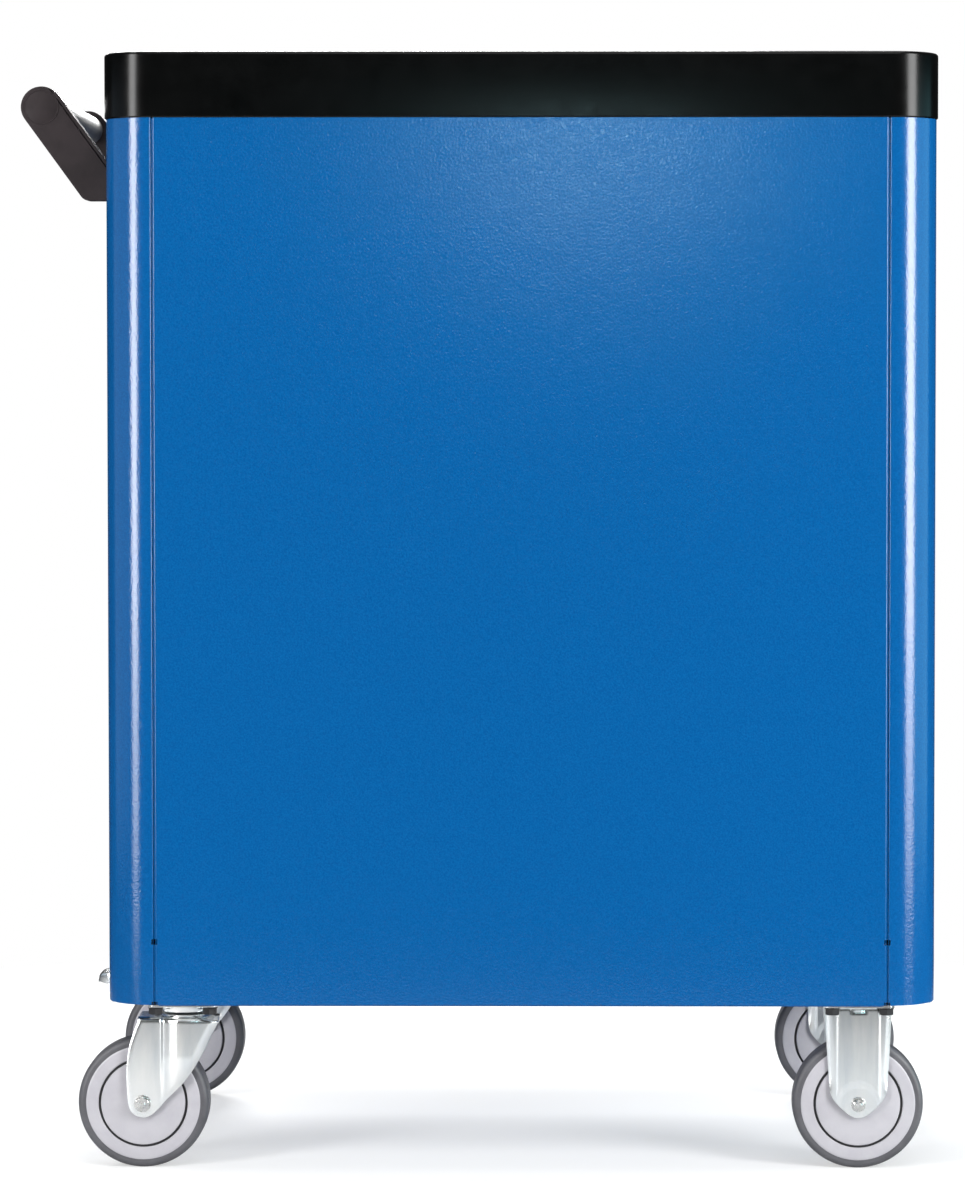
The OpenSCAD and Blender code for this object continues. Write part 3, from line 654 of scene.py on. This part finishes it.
def pressed_yoke(centre, low_edge, high_edge, relief, bottom, bend_z, bend_r, crown_dip):
    """Both legs of a caster and the crown that joins them, as one pressed sheet round a centre.

    The legs' edges are functions of the height above the axle. Close levels round off the foot."""
    columns, bend_steps, crown_steps = 56, 8, 4
    levels = sorted(spread(bottom, bend_z, 57)
                    + [bottom + d * MM for d in (0.15, 0.4, 0.8, 1.4, 2.1, 2.9)])
    half = []
    for z in levels:
        half.append([(u, LEG_OUT + relief(u, z), z)
                     for u in spread(low_edge(z), high_edge(z), columns)])
    top = spread(low_edge(bend_z), high_edge(bend_z), columns)
    for k in range(1, bend_steps + 1):
        turn = math.pi / 2 * k / bend_steps
        half.append([(u, LEG_OUT + relief(u, bend_z) - bend_r * (1 - math.cos(turn)),
                      bend_z + (bend_r - crown_dip(u)) * math.sin(turn)) for u in top])
    for k in range(1, crown_steps + 1):
        left = 1 - k / crown_steps
        half.append([(u, (LEG_OUT + relief(u, bend_z) - bend_r) * left,
                      bend_z + bend_r - crown_dip(u) * left ** 2) for u in top])
    grid = [[centre + Vector((u, w, z)) for u, w, z in row] for row in half]
    grid += [[centre + Vector((u, -w, z)) for u, w, z in row] for row in half[-2::-1]]
    return shell(grid, LEG_T)


# The legs' edges: (height above the axle, distance from the swivel axis or the bracket's middle).
FORK_HIGH = curve([(-13.5, 40.3), (-13.2, 42.8), (-12, 46), (-9, 50), (-5, 52.4), (0, 53.6),
                   (8, 54.5), (20, 55.2), (34, 55.3), (45, 54.3), (56, 52.2), (66, 49), (74, 46),
                   (79, 43.9), (84, 43)])
FORK_LOW = curve([(-13.5, 39.7), (-13.2, 37.2), (-12, 33.9), (-10.6, 31.3), (-7, 27.1),
                  (-3, 23.1), (3.9, 17.2), (10, 10.8), (18.5, 2.2), (28, -5.2), (37.5, -11.5),
                  (50, -18.2), (61, -23.2), (72, -29), (79, -33), (84, -34)])
BRACKET_EDGE = curve([(-13, 0.3), (-12.8, 2.6), (-12.2, 4.6), (-11, 7.2), (-9, 10.2),
                      (-6, 13.9), (0, 20), (4, 23.4), (8, 25.7), (12, 26.9), (20, 27.7),
                      (36, 29), (60, 30.4), (96, 32)])
FORK_FOOT, FORK_BEND_Z, FORK_BEND_R = -13.5 * MM, 78.6 * MM, 4.5 * MM
BRACKET_FOOT, BRACKET_BEND_R = -13 * MM, 4 * MM


def fork_relief(u, z):
    """A fork's leg is flat beside the wheel, and swells round the swivel axis behind a crease."""
    rise = step(z, -6 * MM, 46 * MM)
    crease = 2.6 * MM * step(-u, -23 * MM, -19 * MM)
    round_axis = max(1 - ((u + 3 * MM) / (25 * MM)) ** 2, 0)
    swell = 3.6 * MM * round_axis * step(-u, -18 * MM, -5 * MM)
    rear_edge = max(0, 1 - (u - FORK_LOW(z)) / (8 * MM)) ** 2
    front_edge = max(0, 1 - (FORK_HIGH(z) - u) / (4 * MM)) ** 2
    return rise * (crease + swell - 3.4 * MM * rear_edge) - 0.7 * MM * front_edge


def bracket_relief(u, z):
    """A fixed leg has a raised channel ending in a round arch, leaning sides and a dimple."""
    channel = 1.5 * MM * step(math.hypot(u, z), 17.5 * MM, 21 * MM)
    channel *= step(-abs(u), -22 * MM, -18.5 * MM)
    channel *= step(z, -2 * MM, 8 * MM)
    edge = max(0, 1 - (BRACKET_EDGE(z) - abs(u)) / (8 * MM)) ** 2 * step(z, -4 * MM, 34 * MM)
    dimple = step(z, 87.6 * MM, 90.4 * MM) * math.sqrt(max(0, 1 - (u / (8 * MM)) ** 2))
    return channel - 3.0 * MM * edge - 1.2 * MM * dimple


def wheel_centre(name):
    """The middle of a wheel."""
    low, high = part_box(name + "_tyre")
    return (low + high) / 2


def swivel_axis(side):
    """The point on a swivel caster's axis at its wheel's height; side is +1 at the rear."""
    low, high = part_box("swivel_plates")
    y = side * (high.y - PLATE_HALF_Y)
    return Vector(((low.x + high.x) / 2, y, wheel_centre("rear_swivel").z))


def caster_plate(axis, top):
    """A caster's mounting plate round its axis, under a height."""
    outline = [(axis.x + x, axis.y + y)
               for x, y in rounded_rectangle(PLATE_HALF_X, PLATE_HALF_Y, 6 * MM, 6)]
    return prism(outline, top - PLATE_T, top)


def swivel_fork(end, side):
    """One pressed fork with the lower race standing on its crown."""
    axis = swivel_axis(side)
    shape = Shape().add(*pressed_yoke(
        axis, FORK_LOW, FORK_HIGH, fork_relief, FORK_FOOT, FORK_BEND_Z, FORK_BEND_R,
        lambda u: 3.6 * MM * step(-u, 12 * MM, 32 * MM)))
    race = [(6.3, 82.6), (24.6, 82.6), (25.2, 83.6), (24.6, 85.2), (22.6, 86.6), (16, 87.2),
            (6.3, 87.2)]
    shape.add(*lathe([(r * MM, z * MM) for r, z in race], axis, "Z", 72))
    name = "swivel_fork_" + end
    shape.piece(name + "_pressing", end + "_swivel", ZINC, "zinc_steel", replaced=[name],
                bevel=0.45 * MM, angle=38)


def mounting_plates():
    """The swivel casters' top plates, each with the upper race and the king pin under it."""
    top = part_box("swivel_plates")[1].z
    race = [(19.5, 0.02), (30.5, 0.02), (30.0, -1.6), (28.6, -2.4), (28.2, -5.6), (27.4, -6.6),
            (25.8, -6.8), (24.6, -5.8), (23.8, -3.2), (19.5, -2.4)]
    shape = Shape()
    for side in (1, -1):
        axis = swivel_axis(side)
        under = top - axis.z - PLATE_T
        shape.add(*caster_plate(axis, top))
        shape.add(*lathe([(r * MM, under + z * MM) for r, z in race], axis, "Z", 72))
        pin = [(0.4 * MM, under + 0.5 * MM), (6 * MM, under + 0.5 * MM), (6 * MM, 80 * MM),
               (9 * MM, 79.6 * MM), (9 * MM, 77.4 * MM), (7.6 * MM, 76.6 * MM),
               (0.4 * MM, 76.3 * MM)]
        shape.add(*lathe(pin, axis, "Z", 40))
    shape.piece("swivel_top_plates", "cabinet", ZINC, "zinc_steel", replaced=["swivel_plates"],
                bevel=0.4 * MM)


def fixed_bracket(end):
    """A fixed caster's pressed legs under their mounting plate."""
    name = "fixed_bracket_" + end
    low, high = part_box(name)
    axis = Vector(((low.x + high.x) / 2, (low.y + high.y) / 2, wheel_centre("rear_fixed").z))
    bend_z = high.z - PLATE_T - axis.z - BRACKET_BEND_R
    shape = Shape().add(*caster_plate(axis, high.z))
    shape.add(*pressed_yoke(axis, lambda z: -BRACKET_EDGE(z), BRACKET_EDGE, bracket_relief,
                            BRACKET_FOOT, bend_z, BRACKET_BEND_R, lambda u: 0.0))
    shape.piece(name + "_pressing", "cabinet", ZINC, "zinc_steel", replaced=[name],
                bevel=0.45 * MM, angle=38)


def axle(shape, centre, washer_r, nut):
    """A wheel's sleeve on its bolt, with washer and nut at the rear and the head in front."""
    sleeve, washer = 18.9 * MM, 1.0 * MM
    shape.add(*disc(6 * MM, -sleeve, sleeve, centre))
    shape.add(*disc(3.6 * MM, sleeve, LEG_OUT + 7.6 * MM, centre, chamfer=0.8 * MM))
    shape.add(*disc(4 * MM, -LEG_OUT - MM, -sleeve, centre))
    shape.add(*disc(washer_r, LEG_OUT - 0.6 * MM, LEG_OUT + washer, centre, chamfer=0.35 * MM))
    shape.add(*hex_head(nut, LEG_OUT + washer, LEG_OUT + 6.4 * MM, centre))
    shape.add(*hex_head(M8_HEX, -LEG_OUT + 0.6 * MM, -LEG_OUT - 6.4 * MM, centre))


def axles():
    """The fixed casters' axles in one piece, and one piece for each swivel caster."""
    finish = (AXLE_ZINC, "zinc_steel")
    shape = Shape()
    for name in ("rear_fixed", "front_fixed"):
        axle(shape, wheel_centre(name), 7.2 * MM, 10 * MM)
    shape.piece("fixed_axle_set", "cabinet", *finish, replaced=["fixed_axles"],
                bevel=0.2 * MM, segments=1)
    for end in ("rear", "front"):
        shape = Shape()
        axle(shape, wheel_centre(end + "_swivel"), 8.2 * MM, M8_HEX)
        shape.piece(f"swivel_axle_{end}_set", end + "_swivel", *finish,
                    replaced=[f"swivel_axle_{end}"], bevel=0.2 * MM, segments=1)


def bolts():
    """Four hex bolts with washers through each caster's plate and the base."""
    plate_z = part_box("swivel_plates")[1].z - PLATE_T
    places = [Vector((x + i * BOLT_X, y + j * BOLT_Y, plate_z))
              for x in (swivel_axis(1).x, wheel_centre("rear_fixed").x)
              for y in (swivel_axis(1).y, swivel_axis(-1).y) for i in (-1, 1) for j in (-1, 1)]
    shape = Shape()
    for place in places:
        shape.add(*disc(4 * MM, -2 * MM, 15 * MM, place, "Z", 0.6 * MM, 32))
        shape.add(*hex_head(M8_HEX, -1.2 * MM, -7.2 * MM, place, "Z"))
        shape.add(*disc(7.6 * MM, -1.4 * MM, -0.02 * MM, place, "Z", 0.3 * MM))
        shape.add(*hex_head(M8_HEX, 4.6 * MM, 11 * MM, place, "Z"))
    shape.piece("plate_bolts", "cabinet", BLACK_OXIDE, "black_steel", replaced=["caster_bolts"],
                bevel=0.2 * MM, segments=1)


def brake_pedal():
    """A pressed foot lever with turned-down sides and a round nose, its pin and its shoe."""
    axis = swivel_axis(-1)
    top = curve([(14, 71.5), (19, 74.3), (26, 75.2), (56, 74.4), (62, 72.4), (68, 70), (100, 70),
                 (118, 69.8), (124, 69.4), (127.5, 68), (129.6, 65.4), (130.6, 61)])
    width = curve([(14, 15.6), (50, 15.8), (60, 17), (70, 19.8), (110, 20), (118, 18.8),
                   (125, 15.6), (129, 12), (130.6, 9.6)])
    drop = curve([(14, 6), (50, 4), (64, 5), (80, 9), (110, 12), (120, 12.4), (126, 10.5),
                  (129, 7), (130.6, 3)])
    stations = (14, 16, 18, 20, 23, 26, 34, 42, 50, 55, 58, 60, 62, 64, 66, 68, 71, 76, 84, 92,
                100, 106, 110, 114, 117, 120, 122.5, 125, 127, 128.4, 129.6, 130.6)
    edge_r = 2.6 * MM
    grid = []
    for x in [station * MM for station in stations]:
        w, z, fall = width(x), top(x), drop(x)
        row = [(-w, -fall), (-w, -fall * 0.6), (-w, -edge_r)]
        row += [(-w + along, -down) for down, along in quarter(edge_r)[1:]]
        row += [(y, 0.0) for y in spread(-w + 4 * MM, w - 4 * MM, 9)]
        row += [(-y, d) for y, d in row[7::-1]]
        grid.append([axis + Vector((x, y, z + d)) for y, d in row])
    shape = Shape().add(*shell(grid, 2 * MM))
    pin = axis + Vector((24 * MM, 0, 71.5 * MM))
    shape.add(*disc(3 * MM, -22.6 * MM, 22.6 * MM, pin, "Y", 0.5 * MM, 32))
    shoe_low = axis + Vector((35 * MM, -11 * MM, 67.3 * MM))
    shape.add(*block(shoe_low, axis + Vector((52 * MM, 11 * MM, 73.6 * MM))))
    shape.piece("brake_treadle", "brake_pedal", ZINC, "zinc_steel", replaced=["brake_pedal"],
                bevel=0.5 * MM, angle=40)


# Half of a rim's outer face in millimetres, (radius, along), from the hub to the flange.
RIM_FACE = [(12, 17.9), (12.4, 17.2), (14, 16.8), (30, 16.6), (38.4, 16.9), (39.8, 16.6),
            (40.3, 16.0), (40.35, 13.2), (42.65, 13.2), (42.7, 15.3), (43.4, 15.9), (45, 16),
            (52.6, 15.9), (54.2, 15.7), (54.7, 15.35)]


def wheel(name):
    """A tyre with round shoulders, and a rim with a hub and a thread guard set off by a groove; a
    black ring in the groove is painted shade.
    """
    low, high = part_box(name + "_tyre")
    centre = (low + high) / 2
    radius, half = (high.z - low.z) / 2, (high.y - low.y) / 2
    body = name + "_wheel"
    bed, flange_r, round_r, steps = 52 * MM, 55 * MM, 5.4 * MM, 9
    tyre = []
    for side in (-1, 1):
        arc = [(radius - round_r + round_r * math.cos(a),
                side * (half - round_r + round_r * math.sin(a)))
               for a in (math.pi / 2 * k / steps for k in range(steps + 1))]
        shoulder = [(bed, side * half), (flange_r, side * (half + 0.1 * MM)),
                    (56 * MM, side * half)] + arc[::-1]
        tyre += shoulder if side < 0 else shoulder[::-1]
    Shape().add(*lathe(tyre, centre, "Y", 128)).piece(
        name + "_tread", body, TYRE_GREY, "tyre_rubber", replaced=[name + "_tyre"])

    rim_low, rim_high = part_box(name + "_rim")
    hub_half = ((rim_high.y - rim_low.y) / 2 - 0.1 * MM) / MM
    lip = half / MM + 0.02
    section = [(6.05, hub_half), (11.2, hub_half), *RIM_FACE, (54.6, lip), (52, lip)]
    section = [(r * MM, y * MM) for r, y in section]
    profile = section + [(r, -y) for r, y in reversed(section)]
    Shape().add(*lathe(profile, centre, "Y", 128)).piece(
        name + "_hub_and_rim", body, RIM_GREY, "rim_plastic", replaced=[name + "_rim"])
    # A black ring at the groove's floor: painted shade standing in for the dark of the narrow gap.
    ring = Shape()
    for side in (-1, 1):
        groove = [(r * MM, side * y * MM)
                  for r, y in ((40.4, 13.1), (42.6, 13.1), (42.6, 14.6), (40.4, 14.6))]
        ring.add(*lathe(groove, centre, "Y", 96))
    ring.piece(name + "_groove_shade_ring", body, GROOVE_SHADE_BLACK, "black_steel")


# ---------- drawers ----------

FRONT_SHEET, FRONT_D, FRONT_BEND = 1.5 * MM, 18 * MM, 2.5 * MM
GRIP_H, GRIP_D, LIP_H = 20 * MM, 14 * MM, 6.5 * MM
SLIDE_SHEET, BALL_ROOM, BALL_R = 1.2 * MM, 1.5 * MM, 0.72 * MM
OUTER_FLANGE, INNER_FLANGE = 10 * MM, 9.4 * MM


def drawn_along_x(shape, path, low, high, thickness):
    """Adds sheet metal whose path lies in Y and Z, drawn along X."""
    verts, faces = sheet(path, [low, high], thickness)
    shape.add([(w, u, v) for u, v, w in verts], faces)


def drawer_front(n):
    """A front folded from one sheet: face, finger recess behind a hooked lip, closed ends."""
    low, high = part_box(f"drawer_{n}_front")
    face_y, back_y = low.y + MM, low.y + MM + FRONT_D
    shape, bend, arc_step, edge = Shape(), FRONT_BEND, 15, 0.12 * MM
    recess_y, recess_z = face_y + GRIP_D, high.z - GRIP_H
    face = rounded_path([(recess_y, high.z - FRONT_SHEET - 0.1 * MM, 0),
                         (recess_y, recess_z, bend), (face_y, recess_z, bend),
                         (face_y, low.z, bend), (back_y, low.z, 0)], arc_step)
    lip = rounded_path([(back_y, high.z, 0), (low.y, high.z, 2 * MM),
                        (low.y, high.z - LIP_H, 0)], arc_step)
    for path in (face, lip):
        drawn_along_x(shape, path, low.x, high.x, FRONT_SHEET)
    outline = [(back_y, low.z + edge), (back_y, high.z - edge)]
    outline += [(face_y + edge + along, high.z - edge - down)
                for down, along in reversed(quarter(bend))]
    outline += [(face_y + edge + along, low.z + edge + down) for down, along in quarter(bend)]
    for x in (low.x + edge, high.x - edge - FRONT_SHEET):
        shape.add(*prism(outline, x, x + FRONT_SHEET, lambda u, v, w: (w, u, v)))
    shape.piece(f"drawer_{n}_front_panel", f"drawer_{n}", BLUE, "body_paint",
                replaced=[f"drawer_{n}_front"], bevel=0.3 * MM)


def drawer_box(n):
    """A deep pan with round corners and a rolled upper edge."""
    low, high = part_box(f"drawer_{n}_box")
    middle, half = (low + high) / 2, (high - low) / 2
    top = (high.z - low.z) / MM
    profile = [(2.2, 0), (0.6, 0.6), (0, 2.2), (0, top - 1.6), (0.5, top - 0.45), (1.6, top),
               (2.7, top - 0.45), (3.2, top - 1.6), (3.1, top - 4), (1.1, top - 5), (1.1, 2.6),
               (1.5, 1.5), (2.6, 1.1)]
    rings = [[(middle.x + x, middle.y + y, low.z + rise * MM) for x, y in rounded_rectangle(
                half.x - inset * MM, half.y - inset * MM, (6 - inset) * MM, 6)]
             for inset, rise in profile]
    Shape().add(*loft(rings)).piece(f"drawer_{n}_pan", f"drawer_{n}", DARK_COAT, "drawer_paint",
                                    replaced=[f"drawer_{n}_box"])


def slide_member(shape, web_x, open_x, low, high, ends):
    """A slide's channel: an upright web at web_x, round-cornered flanges that reach to open_x."""
    path = rounded_path([(open_x, high, 0), (web_x, high, 2.4 * MM), (web_x, low, 2.4 * MM),
                         (open_x, low, 0)], 15)
    if open_x < web_x:
        path.reverse()
    verts, faces = sheet(path, list(ends), SLIDE_SHEET)
    shape.add([(u, w, v) for u, v, w in verts], faces)


def ball_cages(shape, x, z, half_h, gap, ends):
    """Balls above and below a middle member, and inside it, in short rows near its ends."""
    steps, first, pitch, off = 6, 12, 9, BALL_ROOM / 2
    profile = [(BALL_R * math.sin(a), -BALL_R * math.cos(a))
               for a in (math.pi * j / steps for j in range(1, steps))]
    for row in (z + half_h + off, z - half_h - off, z + half_h - gap + off, z - half_h + gap - off):
        for k in range(7):
            for y in (ends[0] + (first + pitch * k) * MM, ends[1] - (first + pitch * k) * MM):
                shape.add(*loft([[(x + r * math.cos(t), y + along, row + r * math.sin(t))
                                  for t in circle(8)] for r, along in profile]))


def slides():
    """The three members of every slide, with the ball cages between them."""
    finish = (SLIDE_STEEL, "slide_steel")
    cabinet_low, cabinet_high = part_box("cabinet_slides")
    gap = SLIDE_SHEET + BALL_ROOM
    fixed = Shape()
    for n in DRAWERS:
        runner_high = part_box(f"drawer_{n}_runners")[1]
        middle_low, middle_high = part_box(f"drawer_{n}_middle_slides")
        box_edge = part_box(f"drawer_{n}_box")[1].x
        z, half_h = (middle_low.z + middle_high.z) / 2, (middle_high.z - middle_low.z) / 2
        ends = (middle_low.y, middle_high.y)
        moving, inner = Shape(), Shape()
        for side in (-1, 1):
            outer_x = MID_X + side * (cabinet_high.x - cabinet_low.x) / 2
            middle_x = MID_X + side * (middle_high.x - middle_low.x) / 2
            box_x = MID_X + side * (box_edge - MID_X)
            for shape, web_x, open_x, grow in (
                    (fixed, outer_x, outer_x - side * OUTER_FLANGE, gap),
                    (moving, middle_x, middle_x - side * INNER_FLANGE, 0),
                    (inner, box_x, box_x + side * INNER_FLANGE, -gap)):
                slide_member(shape, web_x, open_x, z - half_h - grow, z + half_h + grow, ends)
            ball_cages(moving, middle_x - side * 6 * MM, z, half_h, gap, ends)
        moving.piece(f"drawer_{n}_middle_members", f"drawer_{n}_middle", *finish,
                     replaced=[f"drawer_{n}_middle_slides"], bevel=0.15 * MM, segments=1)
        add_catch(inner, box_edge, cabinet_low.y + 15 * MM, runner_high)
        inner.piece(f"drawer_{n}_inner_members", f"drawer_{n}", *finish,
                    replaced=[f"drawer_{n}_runners"], bevel=0.15 * MM, segments=1)
    fixed.piece("cabinet_members", "cabinet", *finish, replaced=["cabinet_slides"],
                bevel=0.15 * MM, segments=1)


def add_catch(shape, x, y, corner):
    """The bent catch on a drawer's side, which the lock bar's tab holds; corner is its far one."""
    z, foot_t, foot_l, foot_h, tab_t = corner.z - 18 * MM, 2 * MM, 25 * MM, 7 * MM, 2.5 * MM
    shape.add(*block((x, y, z), (x + foot_t, y + foot_l, z + foot_h)))
    shape.add(*block((x, y, z + 3 * MM), (corner.x, y + tab_t, corner.z)))


def build():
    """Every piece, in turn."""
    side_wall(1, "handle_side_wall")
    side_wall(-1, "plain_side_wall")
    rear_panel()
    for name in ("base_frame", "top_frame"):
        keep_node(name, BLUE)
    top_tray()
    tray_mat()
    handle()
    for name in WHEELS:
        wheel(name)
    keep_node("slide_posts", SLIDE_STEEL)
    slides()
    for n in DRAWERS:
        drawer_box(n)
        drawer_front(n)
    for name in ("handle_screws", "lock_cam", "lock_bar"):
        keep_node(name, ZINC)
    for end, side in (("rear", 1), ("front", -1)):
        swivel_fork(end, side)
        fixed_bracket(end)
    mounting_plates()
    axles()
    bolts()
    brake_pedal()
    for name in ("lock_housing", "lock_barrel"):
        keep_node(name, LOCK_CHROME)


# ---------- studio ----------

PALE = 1.0
DIM_FLOOR = 0.03


def turn_to(viewer, direction):
    """Turns a camera or light to look along a direction, upright."""
    viewer.rotation_mode = "QUATERNION"
    viewer.rotation_quaternion = direction.to_track_quat("-Z", "Y")


def camera():
    """Square on to the rear, a little above the middle, tilted slightly down."""
    data = bpy.data.cameras.new("camera")
    cam = bpy.context.scene.camera = add_object("camera", data)
    focal_px, long_side_px = 4101, 1181
    data.sensor_width = 36
    data.lens = data.sensor_width * focal_px / long_side_px
    data.shift_x, data.shift_y = -0.0733, -0.0499
    data.clip_start, data.clip_end = 0.1, 60
    distance, height = 3.87, 0.752
    cam.location = (MID_X - 75 * MM, HALF_D + distance, height)
    pitch, yaw = math.radians(2.09), math.radians(0.43)
    turn_to(cam, Vector((math.sin(yaw), -math.cos(yaw), -math.tan(pitch))))


def area_light(name, place, aim, size, power, colour=(1, 1, 1)):
    """A softbox of a (width, height), power and colour at a place, turned to a point."""
    data = bpy.data.lights.new(name, "AREA")
    data.shape = "RECTANGLE"
    data.size, data.size_y = size
    data.energy = power
    data.color = colour
    light = add_object(name, data)
    light.location = place
    turn_to(light, Vector(aim) - Vector(place))
    light.visible_camera = False


def by_camera_ray(tree, seen, unseen):
    """One value for what the camera sees directly, another for the light on the object."""
    path = add_node(tree, "LightPath")
    return remap(tree, path.outputs["Is Camera Ray"], 0, 1, unseen, seen)


def surround(scene):
    """A pale backdrop that stays dark in the object's reflections, but for a soft ceiling."""
    world = scene.world = bpy.data.worlds.new("studio")
    world.use_nodes = True
    tree = world.node_tree
    background = tree.nodes["Background"]
    coords = add_node(tree, "TexCoord").outputs["Generated"]
    height = add_node(tree, "SeparateXYZ", Vector=coords).outputs["Z"]
    ceiling = remap(tree, height, 0.2, 1.0, 0.02, 0.3)
    seen = add_node(tree, "LightPath").outputs["Is Camera Ray"]
    level = add_node(tree, "Mix", {"B": PALE}, Factor=seen, A=ceiling)
    tree.links.new(level.outputs["Result"], background.inputs["Strength"])
    background.inputs["Color"].default_value = (1, 1, 1, 1)


def pale_floor():
    """A wide floor that takes the object's shadow nearby and fades into the backdrop beyond."""
    reach, near_r, far_r = 30, 0.95, 1.3
    mesh = bpy.data.meshes.new("floor")
    mesh.from_pydata([(-reach, -reach, 0), (reach, -reach, 0), (reach, reach, 0),
                      (-reach, reach, 0)], [], [(0, 1, 2, 3)])
    floor = add_object("floor", mesh)
    material, tree, shader, coords = new_material("pale_floor")
    tones = blend_colours(tree, noise(tree, coords, 3), (0.86, 0.86, 0.86), (0.9, 0.9, 0.9))
    tree.links.new(tones, shader.inputs["Base Color"])
    shader.inputs["Roughness"].default_value = 0.9
    shader.inputs["Specular IOR Level"].default_value = 0.0
    far = add_node(tree, "Emission", Strength=by_camera_ray(tree, PALE, DIM_FLOOR))
    distance = add_node(tree, "VectorMath")
    distance.operation = "LENGTH"
    tree.links.new(coords, distance.inputs[0])
    far_share = remap(tree, distance.outputs["Value"], near_r, far_r, 0, 1)
    near_share = by_camera_ray(tree, 0.5, 0.32)
    tree.links.new(near_share, far_share.node.inputs["To Min"])
    mix = add_node(tree, "MixShader", Fac=far_share)
    tree.links.new(shader.outputs["BSDF"], mix.inputs[1])
    tree.links.new(far.outputs["Emission"], mix.inputs[2])
    tree.links.new(mix.outputs["Shader"], tree.nodes["Material Output"].inputs["Surface"])
    mesh.materials.append(material)


def studio():
    """The floor, the surround and the lights: a softbox for each broad side, a small one for the
    rear panel's highlight, upright strips that draw the bands on the round corners with dimmer
    ones below them, a faint glow at each end, and a ceiling."""
    scene = bpy.context.scene
    scene.view_settings.view_transform = "Standard"
    surround(scene)
    pale_floor()
    rear, front = HALF_D, -HALF_D
    area_light("key", (MID_X - 0.4, rear + 2.6, 3.0), (MID_X, rear, 0.6), (2.2, 1.2), 29)
    area_light("drawer_key", (MID_X + 0.3, front - 2.6, 2.0), (MID_X, front, 0.55), (1.3, 1.2), 150)
    area_light("highlight", (MID_X - 0.05, rear + 3.87, 1.25), (MID_X, rear, 0.95), (0.4, 0.1), 3.2,
               colour=(0.6, 0.95, 1.0))
    area_light("handle_strip", (1.85, 1.85, 1.2), (MID_X, 0, 1.0), (0.62, 1.7), 62)
    area_light("plain_strip", (-2.13, 1.66, 1.2), (MID_X, 0, 1.0), (0.85, 1.7), 90)
    low, middle = 0.185, 0.67
    area_light("handle_low_strip", (1.85, 1.85, low), (MID_X, 0, low), (0.62, 0.33), 6)
    area_light("plain_low_strip", (-2.13, 1.66, low), (MID_X, 0, low), (0.85, 0.33), 8.7)
    area_light("handle_glow", (2.6, 0.39, middle), (MID_X, 0, middle), (1.96, 1.26), 4.6,
               colour=(0.7, 0.85, 1.0))
    area_light("plain_glow", (-2.6, 0.39, middle), (MID_X, 0, middle), (1.96, 1.26), 13.2,
               colour=(0.4, 0.9, 1.0))
    area_light("ceiling", (MID_X, 0, 3.4), (MID_X, 0, 0.55), (2.4, 1.8), 50)


camera()
build()
studio()
